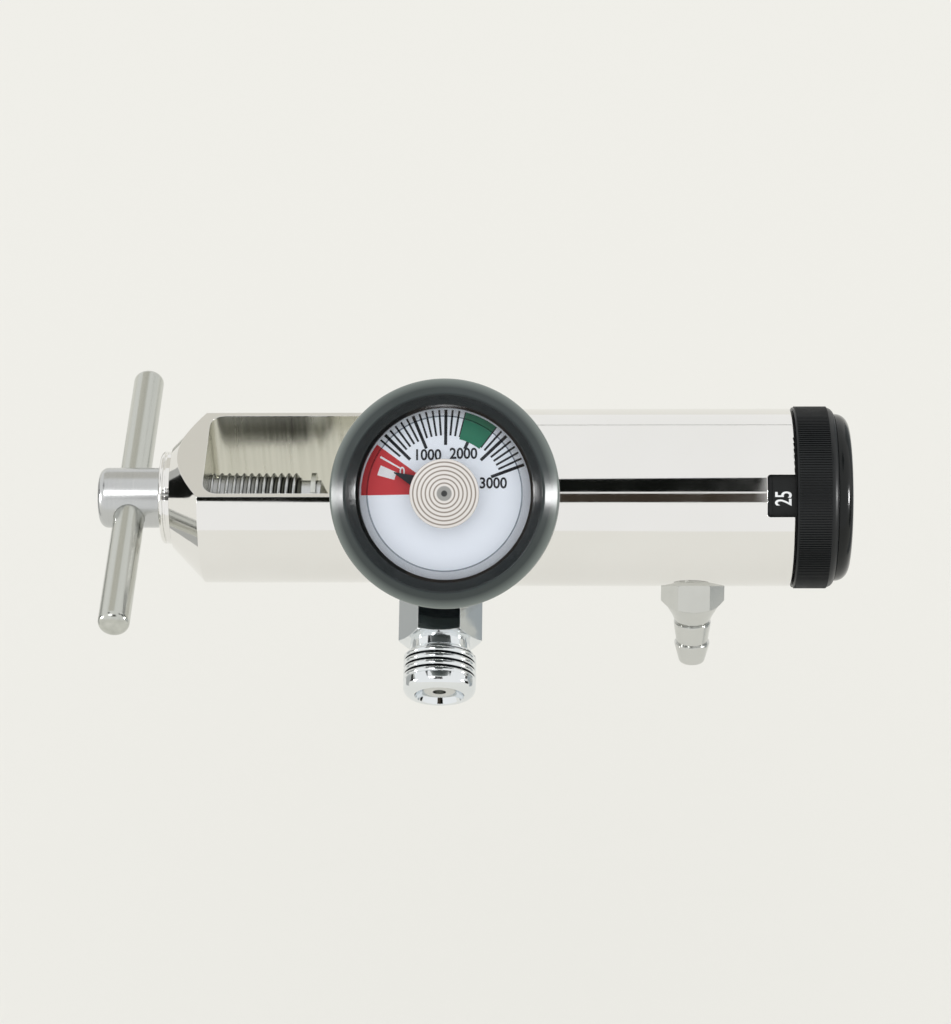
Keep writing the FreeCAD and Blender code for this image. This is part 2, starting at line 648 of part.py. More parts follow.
def make_inlet():
    nipple = turned(
        "nipple",
        BODY_AXIS,
        [
            (size.nipple_out * -1, size.inlet_bore),
            (size.nipple_out * -1, size.nipple_radius),
            (0, size.nipple_radius),
            (0, size.nipple_shank),
            (size.nipple_end_x, size.nipple_shank),
            (size.nipple_end_x, size.inlet_bore),
        ],
    )
    keep(nipple, "inlet_nipple")
    filter_x = size.filter_recess - size.nipple_out
    sinter = cylinder("sinter", BODY_AXIS, size.inlet_bore - size.fit_gap, filter_x, size.filter_length)
    keep(sinter, "inlet_filter")
    washer = turned(
        "washer",
        BODY_AXIS,
        [
            (0, size.washer_bore),
            (0, size.washer_radius),
            (size.seat_x, size.washer_radius),
            (size.seat_x, size.washer_bore),
        ],
    )
    keep(washer, "inlet_washer")


def make_index_pins():
    """Two pins at the oxygen positions, which let the yoke seat on an oxygen post only."""
    pin_x = size.seat_x - size.pin_out
    for name, side in (("index_pin_front", -1), ("index_pin_rear", 1)):
        pin = turned(
            name,
            BODY_AXIS,
            [
                (pin_x, 0),
                (pin_x, size.pin_radius - size.pin_chamfer),
                (pin_x + size.pin_chamfer, size.pin_radius),
                (size.seat_x, size.pin_radius),
                (size.seat_x, size.pin_shank),
                (size.seat_x + size.pin_depth, size.pin_shank),
                (size.seat_x + size.pin_depth, 0),
            ],
        )
        place(pin, BODY_AXIS, 0.0, size.pin_side * side, size.pin_drop * -1)
        keep(pin, name)


def make_pressure_stage():
    nozzle = turned(
        "nozzle",
        BODY_AXIS,
        [
            (size.nozzle_x, size.nozzle_hole),
            (size.nozzle_x, size.stem_bore - size.fit_gap),
            (size.nozzle_end_x - size.nozzle_slope, size.stem_bore - size.fit_gap),
            (size.nozzle_end_x, size.nozzle_lip),
            (size.nozzle_end_x, size.nozzle_hole),
        ],
    )
    keep(nozzle, "nozzle_seat")
    stem_ring = ring(
        "stem_ring", BODY_AXIS, size.stem_radius + size.small_ring_wire + size.ring_gap, size.small_ring_wire,
        size.stem_ring_x,
    )
    keep(stem_ring, "stem_oring")
    head_end = size.piston_x + size.piston_length
    middle = size.piston_x + size.piston_length / 2
    groove = size.ring_groove
    groove_radius = size.chamber_radius - size.ring_wire * 2 - size.ring_gap * 2
    seat_pocket = size.stem_x + size.seat_length
    pocket_radius = size.seat_radius + size.fit_gap
    piston = turned(
        "piston",
        BODY_AXIS,
        [
            (size.stem_x, pocket_radius),
            (size.stem_x, size.stem_radius),
            (size.piston_x, size.stem_radius),
            (size.piston_x, size.piston_radius),
            (middle - groove, size.piston_radius),
            (middle - groove, groove_radius),
            (middle + groove, groove_radius),
            (middle + groove, size.piston_radius),
            (head_end, size.piston_radius),
            (head_end, size.stem_hole),
            (seat_pocket, size.stem_hole),
            (seat_pocket, pocket_radius),
        ],
    )
    past_stem = size.stem_radius + size.through
    cross_hole = cylinder(
        "cross_hole", Frame(size.cross_hole_x, size.bar_angle), size.cross_hole, past_stem * -1, past_stem * 2
    )
    keep(cut("piston_drilled", piston, [cross_hole]), "piston")
    seat_disc = cylinder("seat_disc", BODY_AXIS, size.seat_radius, size.stem_x, size.seat_length - size.fit_gap)
    keep(seat_disc, "piston_seat")
    head_ring = ring(
        "head_ring", BODY_AXIS, size.chamber_radius - size.ring_wire - size.ring_gap, size.ring_wire, middle
    )
    keep(head_ring, "piston_oring")
    main = spring(
        "main_coil", BODY_AXIS, size.spring_radius, size.spring_wire, size.chamber_x,
        size.piston_x - size.chamber_x, size.spring_turns,
    )
    keep(main, "main_spring")


def make_flow_seat():
    """The plug that carries the selected flow to the barb, sealed on both sides of its gallery."""
    groove = size.ring_groove
    groove_radius = size.chamber_radius - size.ring_wire * 2 - size.ring_gap * 2
    gallery_floor = size.flow_radius - size.gallery_depth
    gallery = size.gallery_width / 2
    blank = turned(
        "flow",
        BODY_AXIS,
        [
            (size.flow_x, 0),
            (size.flow_x, size.flow_radius),
            (size.left_ring_x - groove, size.flow_radius),
            (size.left_ring_x - groove, groove_radius),
            (size.left_ring_x + groove, groove_radius),
            (size.left_ring_x + groove, size.flow_radius),
            (size.barb_x - gallery, size.flow_radius),
            (size.barb_x - gallery, gallery_floor),
            (size.barb_x + gallery, gallery_floor),
            (size.barb_x + gallery, size.flow_radius),
            (size.right_ring_x - groove, size.flow_radius),
            (size.right_ring_x - groove, groove_radius),
            (size.right_ring_x + groove, groove_radius),
            (size.right_ring_x + groove, size.flow_radius),
            (size.flow_end_x, size.flow_radius),
            (size.flow_end_x, 0),
        ],
    )
    before = size.flow_x - size.through
    supply = cylinder(
        "supply", BODY_AXIS, size.supply_hole, before, size.flow_end_x - before + size.through,
        size.supply_circle,
    )
    well = cylinder(
        "gas_well", BODY_AXIS, size.supply_circle + size.supply_hole + size.well_margin, before,
        size.well_depth + size.through,
    )
    way_back = cylinder(
        "way_back", BODY_AXIS, size.return_hole, size.barb_x - gallery,
        size.flow_end_x - size.barb_x + gallery + size.through, size.hole_circle * -1,
    )
    side_way = cylinder(
        "side_way", Frame(size.barb_x, size.bar_angle), size.side_hole, size.hole_circle, size.flow_radius
    )
    seal_recess = cylinder(
        "seal_recess", BODY_AXIS, size.seal_recess, size.flow_end_x - size.seal_recess_depth,
        size.seal_recess_depth + size.through, size.hole_circle * -1,
    )
    keep(cut("flow_drilled", blank, [supply, well, way_back, side_way, seal_recess]), "flow_seat")
    ring_radius = size.chamber_radius - size.ring_wire - size.ring_gap
    for name, along in (("flow_seat_oring_left", size.left_ring_x), ("flow_seat_oring_right", size.right_ring_x)):
        keep(ring(name, BODY_AXIS, ring_radius, size.ring_wire, along), name)
    seal_x = size.flow_end_x - size.seal_wire + size.seal_rise
    seal = ring("seal", BODY_AXIS, size.seal_radius, size.seal_wire, seal_x, size.hole_circle * -1)
    keep(seal, "face_seal")


def make_selector():
    disc_x = size.flow_end_x + size.disc_gap
    disc_end = disc_x + size.disc_thickness
    disc_bore = size.spindle_radius + size.fit_gap
    blank = turned(
        "disc",
        BODY_AXIS,
        [
            (disc_x, disc_bore),
            (disc_x, size.disc_radius),
            (disc_end, size.disc_radius),
            (disc_end, disc_bore),
        ],
    )
    orifices = []
    clicks = int(size.clicks.value)
    for number in range(clicks):
        angle = math.radians(180 + number * 360 / clicks)
        radius = size.first_orifice + size.orifice_step * number
        hole = cylinder(
            "orifice", BODY_AXIS, radius, disc_x - size.through, size.disc_thickness + size.through * 2,
            size.hole_circle * math.cos(angle), size.hole_circle * math.sin(angle),
        )
        orifices.append(hole)
    keep(cut("disc_drilled", blank, [joined("orifices", orifices)]), "orifice_disc")
    dish_end = size.spindle_flange_x - size.dish_gap
    dish = turned(
        "dish",
        BODY_AXIS,
        [
            (disc_end + size.dish_gap, size.dish_radius),
            (disc_end + size.dish_gap + size.dish_thickness, size.dish_radius),
            (dish_end, size.dish_inner),
            (dish_end - size.dish_thickness, size.dish_inner),
        ],
    )
    keep(dish, "disc_spring")
    flange_end = size.bonnet_face_x - size.running_gap
    hole_x = size.spindle_end_x - size.screw_length - size.screw_hole_end
    hole_radius = size.screw_radius + size.fit_gap
    spindle = turned(
        "spindle",
        BODY_AXIS,
        [
            (disc_x + size.disc_gap, 0),
            (disc_x + size.disc_gap, size.spindle_radius),
            (size.spindle_flange_x, size.spindle_radius),
            (size.spindle_flange_x, size.spindle_flange),
            (flange_end, size.spindle_flange),
            (flange_end, size.spindle_radius),
            (size.spindle_end_x, size.spindle_radius),
            (size.spindle_end_x, hole_radius),
            (hole_x, hole_radius),
            (hole_x, 0),
        ],
    )
    keep(spindle, "selector_spindle")


def make_bonnet():
    ring_x = (size.bonnet_face_x + size.bonnet_end_x) / 2
    groove = size.small_ring_groove
    bore = size.spindle_radius + size.ring_gap
    groove_radius = bore + size.small_ring_wire * 2 + size.ring_gap
    lip = size.chamber_radius - size.running_gap
    lip_bore = size.chamber_radius - size.bonnet_lip
    blank = turned(
        "bonnet",
        BODY_AXIS,
        [
            (size.flow_end_x, lip_bore),
            (size.flow_end_x, lip),
            (size.bonnet_x, lip),
            (size.bonnet_x, size.bonnet_radius),
            (size.bonnet_end_x, size.bonnet_radius),
            (size.bonnet_end_x, bore),
            (ring_x + groove, bore),
            (ring_x + groove, groove_radius),
            (ring_x - groove, groove_radius),
            (ring_x - groove, bore),
            (size.bonnet_face_x, bore),
            (size.bonnet_face_x, lip_bore),
        ],
    )
    pocket = cylinder(
        "detent_pocket", BODY_AXIS, size.detent_bore, size.detent_end_x,
        size.bonnet_end_x - size.detent_end_x + size.through, size.detent_circle,
    )
    keep(cut("bonnet_drilled", blank, [pocket]), "bonnet")
    spindle_ring = ring(
        "spindle_ring", BODY_AXIS, bore + size.small_ring_wire, size.small_ring_wire, ring_x
    )
    keep(spindle_ring, "spindle_oring")
    ball = doc.addObject("Part::Sphere", "ball")
    bind(ball, "Radius", size.ball_radius)
    place(ball, BODY_AXIS, size.ball_x, size.detent_circle)
    keep(ball, "detent_ball")
    coil = spring(
        "detent_coil", BODY_AXIS, size.detent_coil, size.detent_wire, size.detent_end_x,
        size.ball_x - size.ball_radius - size.detent_end_x + size.detent_wire, size.detent_turns,
        size.detent_circle,
    )
    keep(coil, "detent_spring")


def make_knob():
    hub_bore = size.spindle_radius + size.hub_gap
    web_end = size.knob_x + size.knob_web
    inner = size.knob_radius - size.knob_wall
    skirt_inner = size.skirt_radius - size.knob_wall
    floor_x = size.knob_ring_x + size.knob_wall
    blank = turned(
        "knob",
        BODY_AXIS,
        [
            (size.knob_x, hub_bore),
            (size.knob_x, size.skirt_radius),
            (size.knob_ring_x, size.skirt_radius),
            (size.knob_ring_x, size.knob_radius),
            (size.knob_end_x, size.knob_radius),
            (size.knob_end_x, inner),
            (floor_x, inner),
            (floor_x, skirt_inner),
            (web_end, skirt_inner),
            (web_end, size.knob_hub),
            (size.spindle_end_x, size.knob_hub),
            (size.spindle_end_x, hub_bore),
        ],
        [(4, size.knob_round)],
    )
    dimples = []
    clicks = int(size.clicks.value)
    for number in range(clicks):
        angle = math.radians(number * 360 / clicks)
        dimple = doc.addObject("Part::Sphere", "dimple")
        bind(dimple, "Radius", size.ball_radius + size.dimple_gap)
        place(
            dimple, BODY_AXIS, size.ball_x, size.detent_circle * math.cos(angle),
            size.detent_circle * math.sin(angle),
        )
        dimples.append(dimple)
    keep(cut("knob_dimpled", blank, [joined("dimples", dimples)]), "knob")
    band_radius = size.skirt_radius + size.scale_thickness
    band = turned(
        "band",
        BODY_AXIS,
        [
            (size.scale_x, size.skirt_radius + size.dish_gap),
            (size.scale_x, band_radius),
            (size.scale_end_x, band_radius),
            (size.scale_end_x, size.skirt_radius + size.dish_gap),
        ],
    )
    keep(band, "flow_scale")
    spigot = inner - size.fit_gap
    spigot_bore = spigot - size.cap_wall
    seat_x = size.knob_end_x + size.fit_gap
    roof_x = size.cap_end_x - size.cap_wall
    cap = turned(
        "cap",
        BODY_AXIS,
        [
            (size.knob_end_x - size.cap_spigot, spigot_bore),
            (size.knob_end_x - size.cap_spigot, spigot),
            (seat_x, spigot),
            (seat_x, size.cap_radius),
            (size.cap_end_x, size.cap_radius),
            (size.cap_end_x, 0),
            (roof_x, 0),
            (roof_x, spigot_bore - size.cap_wall),
            (size.knob_end_x, spigot_bore),
        ],
        [(4, size.cap_round)],
    )
    keep(cap, "knob_cap")
    head_x = size.spindle_end_x + size.fit_gap
    head_end = head_x + size.screw_head_length
    screw = turned(
        "knob_fastener",
        BODY_AXIS,
        [
            (size.spindle_end_x - size.screw_length, 0),
            (size.spindle_end_x - size.screw_length, size.screw_radius),
            (head_x, size.screw_radius),
            (head_x, size.screw_head),
            (head_end, size.screw_head),
            (head_end, 0),
        ],
        [(4, size.screw_head_round)],
    )
    keep(screw, "knob_screw")


def make_gauge_socket():
    way_end = size.socket_block_end - size.socket_way
    blank = turned(
        "socket",
        GAUGE,
        [
            (size.socket_out, size.socket_way),
            (size.socket_out, size.socket_radius),
            (size.socket_seat, size.socket_radius),
            (size.socket_seat, size.socket_foot_radius),
            (size.square_out, size.socket_foot_radius),
            (size.square_out, size.square_turned),
            (size.square_end, size.square_turned),
            (size.square_end, size.socket_radius),
            (size.socket_block_out, size.socket_radius),
            (size.socket_block_out, size.socket_block_radius),
            (size.socket_block_end, size.socket_block_radius),
            (size.socket_block_end, 0),
            (way_end, 0),
            (way_end, size.socket_way),
        ],
    )
    squared = with_flats(
        "socket_squared", blank, GAUGE, size.square_out, size.square_end, size.square_across, 4
    )
    arm = doc.addObject("Part::Box", "socket_arm")
    bind(arm, "Length", size.socket_arm_width)
    bind(arm, "Width", size.socket_arm)
    bind(arm, "Height", size.socket_block)
    place(arm, GAUGE, size.socket_block_out, size.socket_arm_width / -2, size.socket_arm * -1)
    way = cylinder("socket_way", GAUGE, size.socket_way, size.socket_out, way_end - size.socket_out)
    keep(cut("socket_bored", joined("socket_joined", [squared, arm]), [way]), "gauge_socket")


def make_gauge_case():
    inner = size.case_radius - size.case_wall
    case_bore = size.socket_radius + size.running_gap
    case = turned(
        "case",
        GAUGE,
        [
            (size.case_out, case_bore),
            (size.case_out, size.case_radius),
            (size.case_end, size.case_radius),
            (size.case_end, inner),
            (size.case_out + size.case_wall, inner),
            (size.case_out + size.case_wall, case_bore),
        ],
        [(1, size.boot_round)],
    )
    keep(case, "gauge_case")
    clear = size.case_radius + size.boot_gap
    lip_out = size.case_end + size.boot_gap
    boot_out = size.case_out - size.boot_base
    boot_back = size.square_turned + size.case_seat
    crest = size.boot_radius - size.boot_crest
    lip = size.view_radius + size.boot_lip
    boot = turned(
        "boot",
        GAUGE,
        [
            (boot_out, boot_back),
            (boot_out, size.boot_radius),
            (size.boot_end - size.boot_slope, size.boot_radius),
            (size.boot_end, crest),
            (lip_out + size.boot_gap, lip),
            (lip_out, lip),
            (lip_out, clear),
            (size.case_out - size.boot_gap, clear),
            (size.case_out - size.boot_gap, boot_back),
        ],
        [(1, size.boot_round), (2, size.boot_round), (3, size.boot_crest_round)],
    )
    keep(boot, "gauge_boot")


def make_gauge_movement():
    tube = doc.addObject("Part::Torus", "tube")
    bind(tube, "Radius1", size.tube_radius)
    bind(tube, "Radius2", size.tube_wire)
    bind(tube, "Angle3", size.tube_sweep)
    tube_root = (size.socket_arm_width / 2 + size.fit_gap) / (size.tube_radius - size.tube_wire)
    start = math.degrees(math.asin(tube_root.value)) - 90
    place(tube, GAUGE, size.tube_out, turn=start)
    keep(tube, "bourdon_tube")
    back = turned(
        "back_plate_disc",
        GAUGE,
        [
            (size.socket_block_end, 0),
            (size.socket_block_end, size.plate_boss_radius),
            (size.back_plate_out, size.plate_boss_radius),
            (size.back_plate_out, size.plate_radius),
            (size.plate_face, size.plate_radius),
            (size.plate_face, 0),
        ],
    )
    back_posts = [
        cylinder(
            "back_post", GAUGE, size.post_radius, size.plate_face, size.pillar, size.post_side * side,
            size.post_up,
        )
        for side in (-1, 1)
    ]
    keep(joined("back_plate_joined", [back, *back_posts]), "movement_back_plate")
    plate_front = size.front_plate_out + size.plate_thickness
    plate_bore = size.shaft_radius + size.fit_gap
    front = turned(
        "front_plate_disc",
        GAUGE,
        [
            (size.front_plate_out, plate_bore),
            (size.front_plate_out, size.plate_radius),
            (plate_front, size.plate_radius),
            (plate_front, plate_bore),
        ],
    )
    front_posts = [
        cylinder(
            "front_post", GAUGE, size.post_radius, plate_front, size.dial_post, size.post_side * side,
            size.post_up,
        )
        for side in (-1, 1)
    ]
    keep(joined("front_plate_joined", [front, *front_posts]), "movement_front_plate")
    shaft_start = size.plate_face + size.running_gap
    pinion_out = size.back_plate_out + size.pinion_rise
    pinion_end = pinion_out + size.pinion_length
    shaft_end = size.pointer_out + size.pointer_thickness
    shaft = turned(
        "shaft",
        GAUGE,
        [
            (shaft_start, 0),
            (shaft_start, size.shaft_radius),
            (pinion_out, size.shaft_radius),
            (pinion_out, size.pinion_radius),
            (pinion_end, size.pinion_radius),
            (pinion_end, size.shaft_radius),
            (shaft_end, size.shaft_radius),
            (shaft_end, 0),
        ],
    )
    keep(shaft, "pointer_shaft")
    drop = (size.pinion_radius + size.sector_radius + size.mesh_gap) * -1
    sector_out = size.back_plate_out + size.sector_rise
    sector = doc.addObject("Part::Cylinder", "sector_plate")
    bind(sector, "Radius", size.sector_radius)
    bind(sector, "Height", size.sector_thickness)
    bind(sector, "Angle", size.sector_width)
    place(sector, GAUGE, sector_out, 0.0, drop, 90 - size.sector_lead.value)
    arbor = cylinder(
        "arbor", GAUGE, size.shaft_radius, shaft_start, size.pillar - size.running_gap * 2, 0.0, drop
    )
    boss = cylinder(
        "sector_boss", GAUGE, size.pinion_radius, sector_out - size.sector_boss,
        size.sector_thickness + size.sector_boss * 2, 0.0, drop,
    )
    keep(joined("sector_joined", [sector, arbor, boss]), "sector_gear")


def make_gauge_face():
    dial = turned(
        "dial",
        GAUGE,
        [
            (size.dial_back, size.pinion_radius),
            (size.dial_back, size.dial_radius),
            (size.dial_out, size.dial_radius),
            (size.dial_out, size.pinion_radius),
        ],
    )
    keep(dial, "dial_plate")
    needle_body = doc.addObject("PartDesign::Body", "needle")
    root = size.pointer_root / 2
    tip = size.pointer_tip / 2
    outline = drawn(
        needle_body,
        [
            (size.pointer_tail * -1, root * -1),
            (size.pointer_reach, tip * -1),
            (size.pointer_reach, tip),
            (size.pointer_tail * -1, root),
        ],
        "XY_Plane",
    )
    needle = needle_body.newObject("PartDesign::Pad", "needle_pad")
    needle.Profile = outline
    bind(needle, "Length", size.pointer_thickness)
    place(needle_body, GAUGE, size.pointer_out, turn=size.pointer_angle.value)
    hub = cylinder("needle_hub", GAUGE, size.pointer_hub, size.pointer_out, size.pointer_thickness)
    bore = cylinder(
        "needle_bore", GAUGE, size.shaft_radius + size.dish_gap, size.pointer_out - size.through,
        size.pointer_thickness + size.through * 2,
    )
    keep(cut("needle_bored", joined("needle_joined", [needle_body, hub]), [bore]), "pointer")
    bezel_out = size.dial_out + size.fit_gap
    bezel = turned(
        "bezel",
        GAUGE,
        [
            (bezel_out, size.view_radius),
            (bezel_out, size.bezel_radius),
            (size.bezel_end, size.bezel_radius),
            (size.bezel_end, size.view_radius),
        ],
    )
    keep(bezel, "gauge_bezel")
    step_radius = size.view_radius - size.lens_step_inset
    step_out = size.case_end - size.lens_step
    bull_out = step_out + size.bull_height
    lens = turned(
        "lens",
        GAUGE,
        [
            (size.lens_out, 0),
            (size.lens_out, size.bezel_radius),
            (size.case_end, size.bezel_radius),
            (size.case_end, step_radius),
            (step_out, step_radius),
            (step_out, size.bull_radius),
            (bull_out, size.bull_radius),
            (bull_out, 0),
        ],
        [(6, size.bull_round)],
    )
    keep(lens, "gauge_lens")


def make_outlet():
    corner = size.outlet_hex / math.sqrt(3)
    flat = size.outlet_hex / 2
    port = size.outlet_port - size.running_gap
    chamfer = size.hex_chamfer
    blank = turned(
        "outlet",
        OUTLET,
        [
            (size.outlet_foot, size.outlet_feed),
            (size.outlet_foot, port),
            (size.collar_out, port),
            (size.collar_out, size.collar_radius),
            (size.outlet_hex_out, size.collar_radius),
            (size.outlet_hex_out, flat),
            (size.outlet_hex_out + chamfer, corner),
            (size.outlet_hex_end - chamfer, corner),
            (size.outlet_hex_end, flat),
            (size.outlet_hex_end, size.outlet_neck),
            (size.neck_out, size.outlet_neck),
            (size.neck_out, size.outlet_thread),
            (size.outlet_end, size.outlet_thread),
            (size.outlet_end, size.outlet_mouth),
            (size.mouth_out, size.outlet_mouth),
            (size.mouth_out, size.outlet_bore),
            (size.bore_out, size.outlet_bore),
            (size.bore_out, size.outlet_feed),
        ],
        [(12, size.outlet_round)],
    )
    hexed = with_flats(
        "outlet_hexed", blank, OUTLET, size.outlet_hex_out, size.outlet_hex_end, size.outlet_hex, 6
    )
    keep(hexed, "outlet_body")
    gasket_radius = size.outlet_mouth - size.fit_gap
    gasket_end = size.mouth_out + size.gasket_thickness
    gasket = turned(
        "gasket",
        OUTLET,
        [
            (size.mouth_out, size.outlet_bore),
            (size.mouth_out, gasket_radius),
            (gasket_end, gasket_radius),
            (gasket_end, size.outlet_bore),
        ],
    )
    keep(gasket, "outlet_gasket")
    stem_out = size.poppet_out - size.poppet_stem_length
    hole_out = size.poppet_end - size.poppet_hole_depth
    poppet = turned(
        "poppet",
        OUTLET,
        [
            (stem_out, 0),
            (stem_out, size.poppet_stem),
            (size.poppet_out, size.poppet_stem),
            (size.poppet_out, size.poppet_radius),
            (size.poppet_end, size.poppet_radius),
            (size.poppet_end, size.poppet_hole),
            (hole_out, size.poppet_hole),
            (hole_out, 0),
        ],
        [(4, size.poppet_round)],
    )
    keep(poppet, "outlet_poppet")
    coil = spring(
        "outlet_coil", OUTLET, size.poppet_radius - size.poppet_spring_wire * 2, size.poppet_spring_wire,
        size.bore_out, size.poppet_out - size.bore_out, size.poppet_turns,
    )
    keep(coil, "outlet_spring")


def make_barb():
    """The hose barb: a thread, a hexagon that slopes to a neck, and two ridges that rise towards it."""
    corner = size.barb_hex / math.sqrt(3)
    flat = size.barb_hex / 2
    chamfer = size.hex_chamfer
    first = size.barb_hex_end + size.barb_first_ridge
    pitch = (size.barb_end - first) / 2
    shoulder_end = size.barb_hex_end + size.barb_shoulder
    points = [
        (size.barb_foot, size.barb_bore),
        (size.barb_foot, size.barb_thread),
        (size.barb_seat, size.barb_thread),
        (size.barb_seat, flat),
        (size.barb_seat + chamfer, corner),
        (size.barb_hex_end - chamfer, corner),
        (size.barb_hex_end, flat),
        (shoulder_end, size.barb_shoulder_radius),
        (first, size.barb_neck),
    ]
    for number in range(2):
        start = first + pitch * number
        ridge = size.barb_ridge - size.barb_ridge_step * number
        points.append((start, ridge))
        points.append((start + size.barb_ridge_flat, ridge))
        if number == 0:
            points.append((start + pitch, size.barb_neck - size.barb_ridge_step))
    points.append((size.barb_end, size.barb_tip))
    points.append((size.barb_end, size.barb_bore))
    blank = turned("barb", BARB, points, [(len(points) - 2, size.barb_tip_round)])
    hexed = with_flats("barb_hexed", blank, BARB, size.barb_seat, size.barb_hex_end, size.barb_hex, 6)
    keep(hexed, "barb_fitting")


make_clamp_screw()
make_tee_bar()
make_screw_clip()
make_yoke_body()
make_inlet()
make_index_pins()
make_pressure_stage()
make_flow_seat()
make_selector()
make_bonnet()
make_knob()
make_gauge_socket()
make_gauge_case()
make_gauge_movement()
make_gauge_face()
make_outlet()
make_barb()
doc.recompute()

# Checks before anything is written
failed = [item.Name for item in doc.Objects if "Invalid" in item.State or "Error" in item.State]
failed += [item.Label for item in subparts if item.Shape.isNull() or not item.Shape.isValid()]
failed += [f"{item.Label} in {len(item.Shape.Solids)} solids" for item in subparts if len(item.Shape.Solids) != 1]
if failed:
    raise RuntimeError(f"these didn't build: {sorted(set(failed))}")

os.makedirs("parts", exist_ok=True)
for item in subparts:
    item.Shape.exportStep(os.path.join("parts", f"{item.Label}.step"))
    print(item.Label, round(item.Shape.Volume, 2))
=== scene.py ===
import json
import math

import bmesh
import bpy
from mathutils import Matrix, Vector


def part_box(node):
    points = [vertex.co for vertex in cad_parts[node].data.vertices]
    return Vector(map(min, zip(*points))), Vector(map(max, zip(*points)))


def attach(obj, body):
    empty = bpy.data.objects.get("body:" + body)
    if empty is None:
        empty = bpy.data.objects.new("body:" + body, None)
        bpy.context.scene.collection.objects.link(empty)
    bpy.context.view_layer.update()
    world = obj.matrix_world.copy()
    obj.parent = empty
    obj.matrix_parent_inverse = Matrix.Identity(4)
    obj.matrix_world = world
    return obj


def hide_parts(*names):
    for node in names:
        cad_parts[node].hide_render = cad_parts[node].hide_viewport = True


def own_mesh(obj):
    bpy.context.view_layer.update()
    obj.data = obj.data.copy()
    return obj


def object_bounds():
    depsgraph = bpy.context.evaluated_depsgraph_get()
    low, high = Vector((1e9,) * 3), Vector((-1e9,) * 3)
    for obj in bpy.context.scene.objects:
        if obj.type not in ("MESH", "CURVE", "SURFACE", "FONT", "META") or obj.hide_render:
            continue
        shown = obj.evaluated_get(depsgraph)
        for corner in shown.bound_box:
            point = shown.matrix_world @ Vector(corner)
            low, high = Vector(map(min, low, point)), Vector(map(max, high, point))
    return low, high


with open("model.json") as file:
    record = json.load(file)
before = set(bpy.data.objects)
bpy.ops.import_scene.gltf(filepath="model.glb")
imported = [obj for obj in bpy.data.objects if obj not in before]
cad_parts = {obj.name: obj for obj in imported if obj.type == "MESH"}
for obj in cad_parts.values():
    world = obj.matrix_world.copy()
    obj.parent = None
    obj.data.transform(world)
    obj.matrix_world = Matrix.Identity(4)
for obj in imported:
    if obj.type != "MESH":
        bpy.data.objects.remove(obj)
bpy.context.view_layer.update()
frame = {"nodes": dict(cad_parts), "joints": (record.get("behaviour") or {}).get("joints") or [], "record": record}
record = frame["record"]
joints = {joint["name"]: joint for joint in frame["joints"]}
mounts = {mount["name"]: mount for mount in record["mounts"]}
slots = {entry["node"]: entry["material_slot"] for entry in record["subparts"]}
nodes = frame["nodes"]
MM = 0.001

# An overlap or a gap too small to see
HAIR = 0.01 * MM

# Axes of the object, taken from the frame
BODY_X = Vector((1, 0, 0))


def axis_matrix(point, direction):
    """A frame on the body's axis, its Z along the direction and its X along the body where it can be."""
    outward = Vector(direction).normalized()
    start = Matrix.Translation((point[0], 0, 0))
    if abs(outward.x) > 0.9:
        return start @ Matrix.Rotation(math.pi / 2, 4, "Y")
    return start @ Matrix((BODY_X, outward.cross(BODY_X), outward)).transposed().to_4x4()


GAUGE = axis_matrix(joints["pointer_turn"]["pos_m"], -Vector(joints["pointer_turn"]["axis"]))
OUTLET = axis_matrix(mounts["threaded_outlet"]["pos_m"], mounts["threaded_outlet"]["axis"])
SCREW = axis_matrix((0, 0, 0), BODY_X)


# Nodes and colours
def add(tree, kind, settings=None, links=None):
    """Adds a node, sets its settings, and links or fills its inputs."""
    node = tree.nodes.new(kind)
    for name, value in (settings or {}).items():
        setattr(node, name, value)
    for socket, value in (links or {}).items():
        if isinstance(value, bpy.types.NodeSocket):
            tree.links.new(value, node.inputs[socket])
        else:
            node.inputs[socket].default_value = value
    return node


def compute(tree, operation, *values):
    return add(tree, "ShaderNodeMath", {"operation": operation}, dict(enumerate(values))).outputs[0]


def times(tree, first, second):
    return compute(tree, "MULTIPLY", first, second)


def plus(tree, first, second):
    return compute(tree, "ADD", first, second)


def vectors(tree, operation, *values):
    return add(tree, "ShaderNodeVectorMath", {"operation": operation}, dict(enumerate(values))).outputs


def linear(code):
    """An sRGB hex colour as linear red, green, blue and alpha."""
    channels = [int(code[place : place + 2], 16) / 255 for place in (1, 3, 5)]
    return tuple(c / 12.92 if c <= 0.04045 else ((c + 0.055) / 1.055) ** 2.4 for c in channels) + (1.0,)


def mix(tree, share, first, second):
    """One colour turned into another by a share, each a hex code or a node's output."""
    first, second = (linear(end) if isinstance(end, str) else end for end in (first, second))
    return add(tree, "ShaderNodeMix", {"data_type": "RGBA"}, {0: share, 6: first, 7: second}).outputs[2]


def mix_shaders(tree, share, first, second):
    return add(tree, "ShaderNodeMixShader", links={0: share, 1: first, 2: second}).outputs[0]


def surface_point(tree):
    """The point of the surface that is being shaded."""
    return add(tree, "ShaderNodeTexCoord").outputs["Object"]


def noise(tree, size_mm, detail=3.0, stretch=(1, 1, 1)):
    """Noise whose blotches are about that many millimetres across, stretched along an axis where asked."""
    mapped = add(tree, "ShaderNodeMapping", links={"Vector": surface_point(tree), "Scale": stretch})
    links = {"Vector": mapped.outputs[0], "Scale": 1 / (size_mm * MM), "Detail": detail}
    return add(tree, "ShaderNodeTexNoise", links=links).outputs["Fac"]


def ramp(tree, value, start, end, first, last):
    """From the first number to the last one, as the value goes from the start to the end."""
    links = {"Value": value, "From Min": start, "From Max": end, "To Min": first, "To Max": last}
    return add(tree, "ShaderNodeMapRange", links=links).outputs[0]


